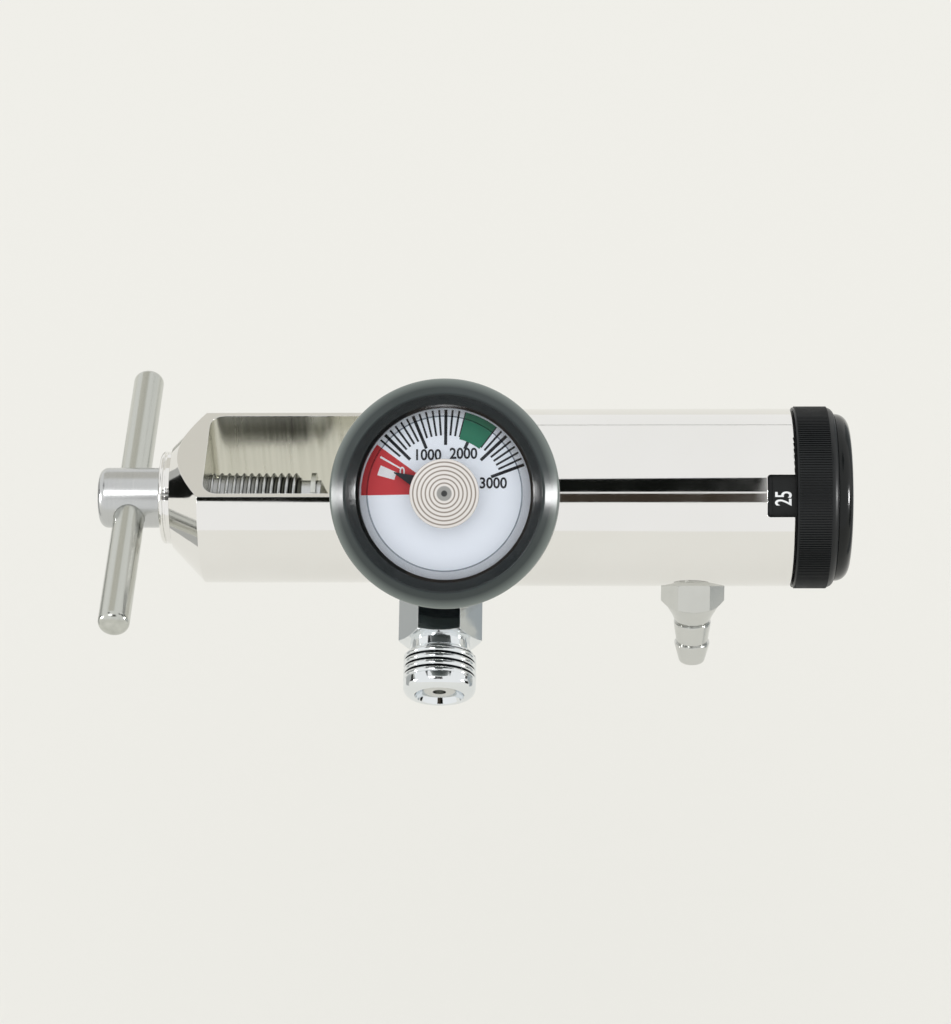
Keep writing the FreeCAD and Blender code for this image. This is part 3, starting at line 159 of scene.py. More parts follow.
def spread(tree, blotches, low, high):
    """Noise spread over a range of values."""
    return ramp(tree, blotches, 0.3, 0.7, low, high)


def rise(tree, value, blend):
    """0 before a blend, which is its two ends in millimetres, and 1 after it."""
    return ramp(tree, value, blend[0] * MM, blend[1] * MM, 0.0, 1.0)


def fall(tree, value, blend):
    """1 before a blend, which is its two ends in millimetres, and 0 after it."""
    return ramp(tree, value, blend[0] * MM, blend[1] * MM, 1.0, 0.0)


def distance_from(tree, matrix):
    """How far the point of the surface is from a frame's Z axis, in metres, and how far along it."""
    direction = tuple(matrix.to_3x3() @ Vector((0, 0, 1)))
    offset = vectors(tree, "SUBTRACT", surface_point(tree), tuple(matrix.translation))[0]
    across = vectors(tree, "CROSS_PRODUCT", offset, direction)[0]
    reach = vectors(tree, "LENGTH", across)["Value"]
    return reach, vectors(tree, "DOT_PRODUCT", offset, direction)["Value"]


def bump(tree, height, depth_mm):
    return add(tree, "ShaderNodeBump", links={"Height": height, "Distance": depth_mm * MM}).outputs[0]


def softened(tree, radius_mm, normal=None):
    """The normal with every sharp edge rounded by a polisher's touch."""
    links = {"Radius": radius_mm * MM}
    if normal is not None:
        links["Normal"] = normal
    return add(tree, "ShaderNodeBevel", {"samples": 6}, links).outputs[0]


def material(name):
    """A new material and its empty tree."""
    made = bpy.data.materials.new(name)
    made.use_nodes = True
    made.node_tree.nodes.clear()
    return made, made.node_tree


def show(tree, shader):
    add(tree, "ShaderNodeOutputMaterial", links={"Surface": shader})


def surface(tree, inputs):
    """Ends a material's tree with one surface."""
    show(tree, add(tree, "ShaderNodeBsdfPrincipled", links=inputs).outputs[0])


# Where finishes, painted shade and painted sheen blend, each from one place to another in millimetres
WINDOW_LEFT = (-36.3, -36.1)
WINDOW_RIGHT = (2.5, 2.7)
WINDOW_SIDE = (11.35, 11.45)
WINDOW_TOP = (11.7, 11.9)
INNER_SHADE_EDGE = (18.3, 18.6)
SHEEN_REACH = (19.7, 21.5)
SHEEN_OUT = (37.0, 42.0)
LENS_SHOULDER = (14.45, 14.6)
STEP_SHADE_START = (14.3, 14.4)
STEP_SHADE_END = (14.5, 14.65)
GATE_EDGE = (1.3, 1.5)
GATE_EYE = (0.5, 0.65)

# The painted shade in a thread's roots: its axis, its radii in the roots and on the crests, and its two ends, in
# millimetres
SCREW_ROOT_SHADE = (SCREW, (4.15, 4.8), -46.0, -17.4)
OUTLET_ROOT_SHADE = (OUTLET, (6.72, 6.98), 34.0, 39.6)
ROOT_SHADE_FADE = 0.2

# The lens's gloss seen straight on, what steep angles and its shoulder add, and the rings on its boss
LENS_GLOSS = 0.03
STEEP_GLOSS = 0.96
SHOULDER_GLOSS = 0.14
RING_PITCH = 0.78 * MM
RING_LINE = 0.08 * RING_PITCH
RING_FADE = 0.26 * RING_PITCH


# Materials
def in_roots(tree, matrix, radii, start, end):
    """1 in the roots of a thread between two places along an axis, and 0 on its crests and elsewhere."""
    reach, along = distance_from(tree, matrix)
    after = rise(tree, along, (start, start + ROOT_SHADE_FADE))
    before = fall(tree, along, (end - ROOT_SHADE_FADE, end))
    return times(tree, fall(tree, reach, radii), times(tree, after, before))


def nickel_plate():
    """Bright nickel on polished brass: a faintly warm mirror, with duller milled walls in the window, whose darker
    colour is partly painted shade.
    """
    made, tree = material("bright nickel plate")
    point = add(tree, "ShaderNodeSeparateXYZ", links={0: surface_point(tree)}).outputs
    side = compute(tree, "ABSOLUTE", point["Y"])
    lengthwise = times(tree, rise(tree, point["X"], WINDOW_LEFT), fall(tree, point["X"], WINDOW_RIGHT))
    crosswise = times(tree, fall(tree, side, WINDOW_SIDE), fall(tree, point["Z"], WINDOW_TOP))
    window = times(tree, lengthwise, crosswise)
    milled = noise(tree, 0.8, 3, (1, 0.3, 0.02))
    bright = mix(tree, noise(tree, 14), "#EFEEEC", "#EAE9E6")
    # painted shade: the milled walls inside the window are coloured darker, partly for their milling and partly
    # for the shade in the recess
    milled_with_shade = mix(tree, milled, "#DDDCD2", "#C6C5B9")
    polish = spread(tree, noise(tree, 5, 4), 0.035, 0.075)
    wave = bump(tree, noise(tree, 22, 1), 0.02)
    inputs = {
        "Base Color": mix(tree, window, bright, milled_with_shade),
        "Metallic": 1.0,
        "Roughness": plus(tree, polish, times(tree, window, spread(tree, milled, 0.13, 0.22))),
        "Normal": softened(tree, 0.14, wave),
    }
    surface(tree, inputs)
    return made


def plated(name, light, dark, rough_low, rough_high, edge_mm, root_shade=None):
    """A bright plated metal, a little worn at its edges, with painted shade in its thread's roots if it has one.
    """
    made, tree = material(name)
    tint = mix(tree, noise(tree, 6), light, dark)
    rough = spread(tree, noise(tree, 2), rough_low, rough_high)
    if root_shade:
        root_shading = in_roots(tree, *root_shade)
        # painted shade: the thread's roots are coloured dark
        tint = mix(tree, root_shading, tint, "#33373A")
        rough = plus(tree, rough, times(tree, root_shading, 0.2))
    normal = softened(tree, edge_mm)
    surface(tree, {"Base Color": tint, "Metallic": 1.0, "Roughness": rough, "Normal": normal})
    return made


def drawn_steel():
    """Cold drawn steel rod: greenish grey, with fine straight marks along its length."""
    made, tree = material("cold drawn steel")
    tint = mix(tree, noise(tree, 1.6, 1, (1, 0.006, 1)), "#D8D9D4", "#B1B3AC")
    rough = spread(tree, noise(tree, 0.5, 3, (1, 0.01, 1)), 0.16, 0.26)
    surface(tree, {"Base Color": tint, "Metallic": 1.0, "Roughness": rough})
    return made


def turned_steel():
    """Satin plated steel: grey with a touch of blue, and faint rings from the lathe tool."""
    made, tree = material("satin plated steel")
    clean = mix(tree, noise(tree, 0.35, 2, (1, 0.01, 0.01)), "#CBCCCB", "#BFC1C2")
    # painted shade: the screw thread's roots are coloured dark
    tint = mix(tree, in_roots(tree, *SCREW_ROOT_SHADE), clean, "#4A4B44")
    rough = spread(tree, noise(tree, 4, 2), 0.2, 0.27)
    normal = softened(tree, 0.15)
    surface(tree, {"Base Color": tint, "Metallic": 1.0, "Roughness": rough, "Normal": normal})
    return made


def turned_brass():
    """Turned brass: yellow, with faint tool marks."""
    made, tree = material("turned brass")
    tint = mix(tree, noise(tree, 4), "#D9B66A", "#C49E52")
    rough = spread(tree, noise(tree, 1.5, 4), 0.18, 0.3)
    surface(tree, {"Base Color": tint, "Metallic": 1.0, "Roughness": rough})
    return made


def sintered_bronze():
    """Sintered bronze: dull brown grains about 0.25 mm across."""
    made, tree = material("sintered bronze")
    grain = noise(tree, 0.25, 2)
    tint = mix(tree, grain, "#8C6B3E", "#B08A52")
    normal = bump(tree, grain, 0.05)
    surface(tree, {"Base Color": tint, "Metallic": 0.9, "Roughness": 0.55, "Normal": normal})
    return made


def moulded(name, first, second, rough_low, rough_high, grain_mm, depth_mm, index=1.5):
    """A moulded rubber or plastic: a close pair of colours, a fine grain and an uneven sheen."""
    made, tree = material(name)
    tint = mix(tree, noise(tree, 7), first, second)
    rough = spread(tree, noise(tree, 3, 4), rough_low, rough_high)
    normal = bump(tree, noise(tree, grain_mm, 2), depth_mm)
    surface(tree, {"Base Color": tint, "Roughness": rough, "Normal": normal, "IOR": index})
    return made


def boot_rubber():
    """Moulded slate rubber: smooth and slightly glossy, with a painted sheen that pales its outer rim and painted
    shade that darkens its inner lip.
    """
    made, tree = material("moulded slate rubber")
    reach, along = distance_from(tree, GAUGE)
    cloud = noise(tree, 6)
    painted_sheen = times(tree, rise(tree, reach, SHEEN_REACH), rise(tree, along, SHEEN_OUT))
    # painted sheen: the outer rim is coloured paler where light grazes its rounded side
    outer = mix(tree, painted_sheen, mix(tree, cloud, "#2C3434", "#343B3B"), "#747C78")
    # painted shade: the inner lip is coloured darker
    inner = mix(tree, cloud, "#161B1D", "#1B2224")
    tint = mix(tree, rise(tree, reach, INNER_SHADE_EDGE), inner, outer)
    rough = spread(tree, noise(tree, 3, 4), 0.2, 0.27)
    normal = bump(tree, noise(tree, 0.4, 2), 0.003)
    surface(tree, {"Base Color": tint, "Roughness": rough, "Normal": normal, "IOR": 1.42})
    return made


def printed(name, colour, rough=0.45):
    """Screen printed ink on an enamelled dial: flat colour with a slight unevenness in its sheen."""
    made, tree = material(name)
    sheen = spread(tree, noise(tree, 1.5), rough - 0.05, rough + 0.05)
    surface(tree, {"Base Color": linear(colour), "Roughness": sheen, "IOR": 1.5})
    return made


def clear_lens():
    """Moulded clear acrylic: it bends nothing, shines more at steep angles, is milky at its shoulder and has a
    painted grey line of shade at its step.
    """
    made, tree = material("clear acrylic")
    reach, _ = distance_from(tree, GAUGE)
    step_shade = times(tree, rise(tree, reach, STEP_SHADE_START), fall(tree, reach, STEP_SHADE_END))
    # painted shade: a grey line tints what is seen through the lens's step
    tint = mix(tree, step_shade, "#FEFEFF", "#C3C8CD")
    clear = add(tree, "ShaderNodeBsdfTransparent", links={"Color": tint}).outputs[0]
    mirror = {"Base Color": linear("#FFFFFF"), "Metallic": 1.0, "Roughness": 0.02}
    gloss = add(tree, "ShaderNodeBsdfPrincipled", links=mirror).outputs[0]
    facing = add(tree, "ShaderNodeLayerWeight", links={"Blend": 0.5}).outputs["Facing"]
    steep = compute(tree, "POWER", facing, 5.0)
    share = compute(tree, "MULTIPLY_ADD", steep, STEEP_GLOSS, LENS_GLOSS)
    milky = times(tree, rise(tree, reach, LENS_SHOULDER), SHOULDER_GLOSS)
    show(tree, mix_shaders(tree, plus(tree, share, milky), clear, gloss))
    return made


def frosted_boss():
    """The lens's frosted middle: milky acrylic with fine turned rings, their dark lines painted shade, and a grey
    gate mark.
    """
    made, tree = material("frosted acrylic")
    reach, _ = distance_from(tree, GAUGE)
    within = compute(tree, "MODULO", reach, RING_PITCH)
    away = compute(tree, "ABSOLUTE", compute(tree, "SUBTRACT", within, RING_PITCH / 2))
    line = ramp(tree, away, RING_LINE, RING_FADE, 1.0, 0.0)
    # painted shade: each ring's groove is coloured as a dark brown-grey line, besides its bump
    milky = mix(tree, line, "#D6D2CE", "#857C73")
    gate = mix(tree, fall(tree, reach, GATE_EYE), "#8F8F8C", "#2F3131")
    tint = mix(tree, fall(tree, reach, GATE_EDGE), milky, gate)
    rough = spread(tree, noise(tree, 0.6), 0.32, 0.45)
    normal = bump(tree, line, 0.03)
    surface(tree, {"Base Color": tint, "Roughness": rough, "Normal": normal, "IOR": 1.49})
    return made


FINISH = {
    "nickel": nickel_plate(),
    "chrome": plated("bright chrome plate", "#EEF1F3", "#E2E6E8", 0.05, 0.1, 0.2, OUTLET_ROOT_SHADE),
    "steel": drawn_steel(),
    "zinc": turned_steel(),
    "brass": turned_brass(),
    "bronze": sintered_bronze(),
    "seal_rubber": moulded("nitrile rubber", "#1C1D1E", "#232425", 0.5, 0.6, 0.3, 0.01),
    "washer": moulded("bonded fibre washer", "#8C867C", "#7A746B", 0.6, 0.75, 0.4, 0.02),
    "boot_rubber": boot_rubber(),
    "black_plastic": moulded("moulded black nylon", "#0E1112", "#141719", 0.3, 0.4, 0.3, 0.01, 1.4),
    "black_matt": moulded("matt black nylon", "#0C0E0F", "#101314", 0.45, 0.55, 0.3, 0.01, 1.4),
    "dial_white": printed("white dial enamel", "#F2F9FF", 0.35),
    "pointer_black": printed("black dial ink", "#1E232B"),
    "lens": clear_lens(),
    "seat_plastic": moulded("hard nylon", "#D8D3C4", "#CFCABB", 0.4, 0.5, 0.5, 0.01),
}
CHROME = FINISH["chrome"]
ZINC = FINISH["zinc"]
INK = FINISH["pointer_black"]
RED = printed("red dial ink", "#CC2B32")
GREEN = printed("green dial ink", "#16795A")
WHITE = printed("white ink", "#E8EAEB")
FROSTED = frosted_boss()
CAP = moulded("polished black nylon", "#0B0D0D", "#0F1212", 0.12, 0.2, 2.0, 0.01, 1.36)
SATIN_CHROME = plated("satin chrome plate", "#D6D7D4", "#CBCCC9", 0.16, 0.24, 0.15)
OWN_FINISH = {
    "knob_cap": CAP,
    "barb_fitting": SATIN_CHROME,
    "outlet_poppet": SATIN_CHROME,
    "gauge_socket": SATIN_CHROME,
}


def finish_nodes():
    """Gives each node of the frame its own finish if it has one, or else the finish of its material slot."""
    for name, slot in slots.items():
        materials = nodes[name].data.materials
        materials.clear()
        materials.append(OWN_FINISH.get(name, FINISH[slot]))


# Making pieces: the sharpest bend that is shaded smooth, the faces round a turned piece, the foot of a thread's
# ridge as a share of its pitch, and the font's size for figures of height 1
SHARP_ANGLE = math.radians(32)
LATHE_STEPS = 128
THREAD_FOOT = 0.94
FIGURE_SIZE = 1.42


def placed(name, data):
    """A new object in the scene."""
    made = bpy.data.objects.new(name, data)
    bpy.context.scene.collection.objects.link(made)
    return made


def piece_from(mesh, name, finish, body):
    piece = placed(name, mesh)
    mesh.materials.clear()
    mesh.materials.append(finish)
    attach(piece, body)
    return piece


def mesh_of(work, name):
    """The mesh that a bmesh was worked up to."""
    mesh = bpy.data.meshes.new(name)
    work.to_mesh(mesh)
    work.free()
    return mesh


def solid_of(work, name):
    """The mesh of a closed bmesh, with its faces turned outwards."""
    bmesh.ops.recalc_face_normals(work, faces=work.faces)
    return mesh_of(work, name)


def plain_mesh(holder):
    """The mesh that an object's modifiers or text give. The object goes."""
    bpy.context.view_layer.update()
    graph = bpy.context.evaluated_depsgraph_get()
    mesh = bpy.data.meshes.new_from_object(holder.evaluated_get(graph))
    bpy.data.objects.remove(holder)
    return mesh


def smooth_by_angle(mesh):
    """Smooth shading that keeps the sharp edges."""
    work = bmesh.new()
    work.from_mesh(mesh)
    for face in work.faces:
        face.smooth = True
    for edge in work.edges:
        edge.smooth = len(edge.link_faces) != 2 or edge.calc_face_angle(0) <= SHARP_ANGLE
    work.to_mesh(mesh)
    work.free()


def lathe(name, outline, matrix, finish, body):
    """A solid of revolution about a frame's Z from a closed outline of (radius, distance out)."""
    work = bmesh.new()
    angles = [2 * math.pi * step / LATHE_STEPS for step in range(LATHE_STEPS)]
    rings = []
    for radius, out in outline:
        spots = [(radius * math.cos(angle), radius * math.sin(angle), out) for angle in angles]
        rings.append([work.verts.new(spot) for spot in (spots if radius else spots[:1])])
    for ring, following in zip(rings, rings[1:] + rings[:1]):
        if len(ring) == len(following) == 1:
            continue
        for step in range(LATHE_STEPS):
            after = (step + 1) % LATHE_STEPS
            corners = [ring[step % len(ring)], ring[after % len(ring)]]
            corners += [following[after % len(following)], following[step % len(following)]]
            work.faces.new(list(dict.fromkeys(corners)))
    mesh = solid_of(work, name)
    smooth_by_angle(mesh)
    mesh.transform(matrix)
    return piece_from(mesh, name, finish, body)


def prism(work, near, far):
    """Adds a closed prism between two outlines that face each other."""
    near, far = ([work.verts.new(spot) for spot in outline] for outline in (near, far))
    for number in range(len(near)):
        after = (number + 1) % len(near)
        work.faces.new([near[number], near[after], far[after], far[number]])
    work.faces.new(near)
    work.faces.new(far[::-1])


def group_tree(name, kinds):
    """A Geometry Nodes tree with inputs of those kinds after its geometry, and what they give."""
    tree = bpy.data.node_groups.new(name, "GeometryNodeTree")
    tree.interface.new_socket(name="Geometry", in_out="INPUT", socket_type="NodeSocketGeometry")
    for label, kind in kinds.items():
        tree.interface.new_socket(name=label, in_out="INPUT", socket_type=f"NodeSocket{kind}")
    tree.interface.new_socket(name="Geometry", in_out="OUTPUT", socket_type="NodeSocketGeometry")
    return tree, add(tree, "NodeGroupInput").outputs


def close_tree(tree, given, geometry):
    """Ends a tree with real geometry in the given material."""
    real = add(tree, "GeometryNodeRealizeInstances", links={0: geometry}).outputs[0]
    done = add(tree, "GeometryNodeSetMaterial", links={"Geometry": real, "Material": given["Material"]})
    add(tree, "NodeGroupOutput", links={0: done.outputs[0]})


def around_tree():
    """Repeats its geometry round Z: Count copies, the first turned by Start and each next one by Step."""
    kinds = {"Count": "Int", "Start": "Float", "Step": "Float", "Material": "Material"}
    tree, given = group_tree("copies around an axis", kinds)
    line = {"Count": given["Count"], "Offset": (0, 0, 0)}
    points = add(tree, "GeometryNodeMeshLine", links=line).outputs[0]
    index = add(tree, "GeometryNodeInputIndex").outputs[0]
    angle = compute(tree, "MULTIPLY_ADD", index, given["Step"], given["Start"])
    turn = add(tree, "ShaderNodeCombineXYZ", links={"Z": angle}).outputs[0]
    links = {"Points": points, "Instance": given["Geometry"], "Rotation": turn}
    close_tree(tree, given, add(tree, "GeometryNodeInstanceOnPoints", links=links).outputs[0])
    return tree


def thread_tree():
    """A V thread's ridge wound about Z from Z 0 up to Height, its root at Radius."""
    kinds = {label: "Float" for label in ("Radius", "Height", "Pitch", "Depth", "Crest")}
    tree, given = group_tree("screw thread", {**kinds, "Material": "Material"})
    helix = {
        "Resolution": 64,
        "Rotations": compute(tree, "DIVIDE", given["Height"], given["Pitch"]),
        "Start Radius": given["Radius"],
        "End Radius": given["Radius"],
        "Height": given["Height"],
    }
    wound = add(tree, "GeometryNodeCurveSpiral", links=helix).outputs[0]
    path = add(tree, "GeometryNodeSetCurveNormal", {"mode": "Z_UP"}, {"Curve": wound}).outputs[0]
    trapezoid = {
        "Bottom Width": times(tree, given["Pitch"], THREAD_FOOT),
        "Top Width": times(tree, given["Pitch"], given["Crest"]),
        "Height": given["Depth"],
        "Offset": 0.0,
    }
    kind = "GeometryNodeCurvePrimitiveQuadrilateral"
    section = add(tree, kind, {"mode": "TRAPEZOID"}, trapezoid).outputs[0]
    shift = add(tree, "ShaderNodeCombineXYZ", links={"X": times(tree, given["Depth"], -0.5)}).outputs[0]
    turn = {"Geometry": section, "Rotation": (0, 0, math.pi / 2), "Translation": shift}
    profile = add(tree, "GeometryNodeTransform", links=turn).outputs[0]
    links = {"Curve": path, "Profile Curve": profile, "Fill Caps": True}
    close_tree(tree, given, add(tree, "GeometryNodeCurveToMesh", links=links).outputs[0])
    return tree


AROUND = around_tree()
THREAD = thread_tree()


def grown(name, seed, tree, settings, matrix, finish, body):
    """The plain mesh that a tree makes from a seed mesh, put in place."""
    holder = placed(f"{name}_seed", seed)
    modifier = holder.modifiers.new("grow", "NODES")
    modifier.node_group = tree
    settings = {**settings, "Material": finish}
    for item in tree.interface.items_tree:
        if item.in_out == "INPUT" and item.name in settings:
            modifier[item.identifier] = settings[item.name]
    mesh = plain_mesh(holder)
    mesh.name = name
    mesh.transform(matrix)
    return piece_from(mesh, name, finish, body)


def flat_mesh(name, outlines, height):
    """Flat shapes that lie at one height and face up, each a closed outline of (x, y) points."""
    work = bmesh.new()
    for outline in outlines:
        work.faces.new([work.verts.new((x, y, height)) for x, y in outline])
    bmesh.ops.recalc_face_normals(work, faces=work.faces)
    for face in work.faces:
        if face.normal.z < 0:
            face.normal_flip()
    return mesh_of(work, name)


def arc(radius, start, end, steps=24):
    """Points on an arc, angles in degrees."""
    angles = [math.radians(start + (end - start) * step / steps) for step in range(steps + 1)]
    return [(radius * math.cos(angle), radius * math.sin(angle)) for angle in angles]


def sector(inner_mm, outer_mm, start, end):
    return arc(inner_mm * MM, start, end) + arc(outer_mm * MM, end, start)


def figures_mesh(name, words, height, narrow, bold):
    """Plain figures, centred, as tall as given, lying flat and facing up Z."""
    curve = bpy.data.curves.new(name, "FONT")
    curve.body = words
    curve.align_x = "CENTER"
    curve.align_y = "CENTER"
    curve.size = height * FIGURE_SIZE
    curve.offset = height * bold
    curve.resolution_u = 6
    mesh = plain_mesh(placed(name, curve))
    mesh.transform(Matrix.Diagonal((narrow, 1, 1, 1)))
    return mesh


def merged(meshes, name):
    """Several meshes as one."""
    work = bmesh.new()
    for mesh in meshes:
        work.from_mesh(mesh)
    return mesh_of(work, name)


def set_reach(mesh, matrix, wanted):
    """Moves each vertex in or out to the radius wanted for its distance along an axis and its own radius."""
    back = matrix.inverted()
    for vertex in mesh.vertices:
        local = back @ vertex.co
        reach = math.hypot(local.x, local.y)
        radius = wanted(local.z, reach)
        if radius != reach:
            share = radius / reach
            vertex.co = matrix @ Vector((local.x * share, local.y * share, local.z))


def thinned_copy(node, matrix, start, end, limit, loops):
    """A copy of a node's mesh with more loops across its axis, and a stretch of it kept within a limit."""
    mesh = nodes[node].data.copy()
    work = bmesh.new()
    work.from_mesh(mesh)
    bmesh.ops.remove_doubles(work, verts=work.verts, dist=1e-6)
    direction = matrix.to_3x3() @ Vector((0, 0, 1))
    for number in range(loops + 1):
        spot = matrix @ Vector((0, 0, start + (end - start) * number / loops))
        everything = work.verts[:] + work.edges[:] + work.faces[:]
        bmesh.ops.bisect_plane(work, geom=everything, plane_co=spot, plane_no=direction, dist=1e-6)
    work.to_mesh(mesh)
    work.free()
    set_reach(mesh, matrix, lambda out, reach: min(reach, limit(out)) if start < out < end else reach)
    smooth_by_angle(mesh)
    return mesh


# The clamp screw's thread, its crest given as a share of its pitch
SCREW_PITCH = 1.5 * MM
SCREW_RADIUS = 4.95 * MM
SCREW_DEPTH = 0.92 * MM
SCREW_CREST = 0.14
SCREW_RUNOUT = 0.6 * SCREW_PITCH
HUB_LENGTH = 12.4 * MM
THREAD_END = -17.7 * MM

# The outlet's thread, and the places out along the outlet where its neck, shoulder and mouth are
OUTLET_PITCH = 25.4 / 18 * MM
OUTLET_RADIUS = 7.14 * MM
OUTLET_DEPTH = 0.5 * MM
OUTLET_CREST = 0.5
NECK_OUT = 33.3 * MM
IN_NECK_RADIUS = 5.85 * MM
SHOULDER_ROUND = 1.25 * MM
THREADED_LENGTH = 6.2 * MM
OUTLET_END = 42.3 * MM
MOUTH_DEPTH = 0.05 * MM
MOUTH_RADIUS = 4.9 * MM

# How far the sprung pieces move
PISTON_TRAVEL = 0.8 * MM
BALL_TRAVEL = 0.7 * MM
POPPET_TRAVEL = 2.0 * MM


def threaded(name, matrix, start, end, sizes, limit, finish, body):
    """A thread's ridge between two distances along an axis, kept within a limit."""
    radius, pitch, depth, crest = sizes
    settings = {"Radius": radius - depth, "Height": end - start}
    settings |= {"Pitch": pitch, "Depth": depth, "Crest": crest}
    seed = bpy.data.meshes.new(f"{name}_seed")
    lift = Matrix.Translation((0, 0, start))
    ridge = grown(name, seed, THREAD, settings, matrix @ lift, finish, body)
    set_reach(ridge.data, matrix, lambda out, reach: min(reach, limit(out)))


def make_clamp_screw():
    """The clamp screw with a sharp thread that runs out towards its neck."""
    low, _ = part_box("clamp_screw")
    start = low.x + HUB_LENGTH + SCREW_PITCH / 2
    end = THREAD_END - SCREW_PITCH / 3
    root = SCREW_RADIUS - SCREW_DEPTH

    def limit(out):
        return min(SCREW_RADIUS, root + SCREW_DEPTH * max(0.0, THREAD_END - out) / SCREW_RUNOUT)

    mesh = thinned_copy("clamp_screw", SCREW, start, THREAD_END + HAIR, lambda out: root, 1)
    core = piece_from(mesh, "clamp_screw_core", ZINC, "clamp")
    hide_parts("clamp_screw")
    sizes = (SCREW_RADIUS, SCREW_PITCH, SCREW_DEPTH, SCREW_CREST)
    threaded("clamp_screw_thread", SCREW, start, end, sizes, limit, ZINC, "clamp")


def make_outlet():
    """The outlet with a rounded shoulder, a flat-crested thread and a smooth stretch up to its rounded end."""
    start = NECK_OUT + OUTLET_PITCH * 0.3
    end = NECK_OUT + THREADED_LENGTH

    def shoulder(out):
        if out < NECK_OUT:
            return IN_NECK_RADIUS
        into = max(0.0, SHOULDER_ROUND - (out - NECK_OUT))
        return OUTLET_RADIUS - SHOULDER_ROUND + math.sqrt(SHOULDER_ROUND**2 - into**2)

    def root(out):
        return min(shoulder(out), OUTLET_RADIUS - OUTLET_DEPTH)

    def mouth(out, reach):
        return max(reach, MOUTH_RADIUS) if out > OUTLET_END - MOUTH_DEPTH else reach

    mesh = thinned_copy("outlet_body", OUTLET, NECK_OUT - HAIR, end, root, 12)
    set_reach(mesh, OUTLET, mouth)
    core = piece_from(mesh, "outlet_core", CHROME, "body")
    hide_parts("outlet_body")
    sizes = (OUTLET_RADIUS, OUTLET_PITCH, OUTLET_DEPTH, OUTLET_CREST)
    threaded("outlet_thread", OUTLET, start, end, sizes, shoulder, CHROME, "body")


def make_springs():
    """The coil springs, each copied into a piece of its own that rides on the body."""
    outlet_way = OUTLET.to_3x3() @ Vector((0, 0, 1))
    moves = [
        ("main_spring", "piston_slide", BODY_X, PISTON_TRAVEL),
        ("detent_spring", "detent_ball_slide", BODY_X, BALL_TRAVEL),
        ("outlet_spring", "poppet_slide", outlet_way, POPPET_TRAVEL),
    ]
    for name, joint, way, travel in moves:
        mesh = nodes[name].data.copy()
        coil = piece_from(mesh, f"{name}_coil", FINISH[slots[name]], "body")
        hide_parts(name)
        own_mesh(coil)


# The flow knob's ridges: both ends from the knob's front, the share of the knob's side that they cover, and the
# share of a ridge that its top is
GRIP_RIDGES = 216
GRIP_START = 7.8 * MM
GRIP_END = 1.5 * MM
RIDGE_HEIGHT = 0.22 * MM
RIDGE_SUNK = 0.1 * MM
RIDGE_SHARE = 0.62
RIDGE_TOP = 0.4

# The flow numbers: the angle of the first one, and how far all print stands off
CLICKS = ("25", "0", "1/4", "1/2", "1", "1.5", "2", "3", "4", "6", "8", "15")
CLICK_ANGLE = 43.4
CLICK_HEIGHT = 3.2 * MM
PRINT_RISE = 0.03 * MM


def make_knob_grip():
    """The knob's fine straight ridges, a little sunk into its side."""
    low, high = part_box("knob")
    radius = (high.z - low.z) / 2
    half = math.pi * radius / GRIP_RIDGES * RIDGE_SHARE
    top = half * RIDGE_TOP
    section = [(-half, -RIDGE_SUNK), (-top, RIDGE_HEIGHT), (top, RIDGE_HEIGHT), (half, -RIDGE_SUNK)]
    ends = []
    for place in (high.x - GRIP_START, high.x - GRIP_END):
        ends.append([(radius + height, side, place) for side, height in section])
    work = bmesh.new()
    prism(work, *ends)
    seed = solid_of(work, "grip_seed")
    settings = {"Count": GRIP_RIDGES, "Start": 0.0, "Step": 2 * math.pi / GRIP_RIDGES}
    grip = grown("knob_grip", seed, AROUND, settings, SCREW, FINISH["black_plastic"], "knob_group")


def make_scale_numbers():
    """The flow numbers on the band, one for each click, bent round it."""
    low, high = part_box("flow_scale")
    radius = (high.z - low.z) / 2 + PRINT_RISE
    middle = (low.x + high.x) / 2
    parts = []
    for number, words in enumerate(CLICKS):
        mesh = figures_mesh(f"flow_number_{number}", words, CLICK_HEIGHT, narrow=0.66, bold=0.015)
        turn = math.radians(CLICK_ANGLE) - number * 2 * math.pi / len(CLICKS)
        for vertex in mesh.vertices:
            angle = turn + vertex.co.x / radius
            along = middle - vertex.co.y
            vertex.co = Vector((along, -math.cos(angle) * radius, math.sin(angle) * radius))
        parts.append(mesh)
    numbers = piece_from(merged(parts, "flow_numbers"), "flow_numbers", WHITE, "knob_group")


# The gauge's face: its print lies on the dial in thin layers, and its angles are in degrees from the right
DIAL_OUT = 40.5 * MM
PRINT_EDGE = 15.8
ZERO_ANGLE = 158.5
FULL_ANGLE = 20.3
SMALL_STEPS = 30
LARGE_STEPS = 6
FIRST_SMALL = 4
FIRST_LARGE = 1
FIGURE_HEIGHT = 2.0 * MM
ZERO_HEIGHT = 1.75 * MM
ZERO_SPOT = (-8.05 * MM, 4.1 * MM)


def dial_marks(name, count, first, inner_mm, width_mm):
    """Radial marks that divide the dial's range by the count, from the first one that isn't on red."""
    half = width_mm * MM / 2
    inner, outer = inner_mm * MM, PRINT_EDGE * MM
    corners = [(inner, -half), (outer, -half), (outer, half), (inner, half)]
    seed = flat_mesh(f"{name}_seed", [corners], DIAL_OUT + PRINT_RISE * 2)
    step = math.radians(FULL_ANGLE - ZERO_ANGLE) / count
    settings = {"Count": count + 1 - first, "Start": math.radians(ZERO_ANGLE) + step * first, "Step": step}
    marks = grown(name, seed, AROUND, settings, GAUGE, INK, "body")


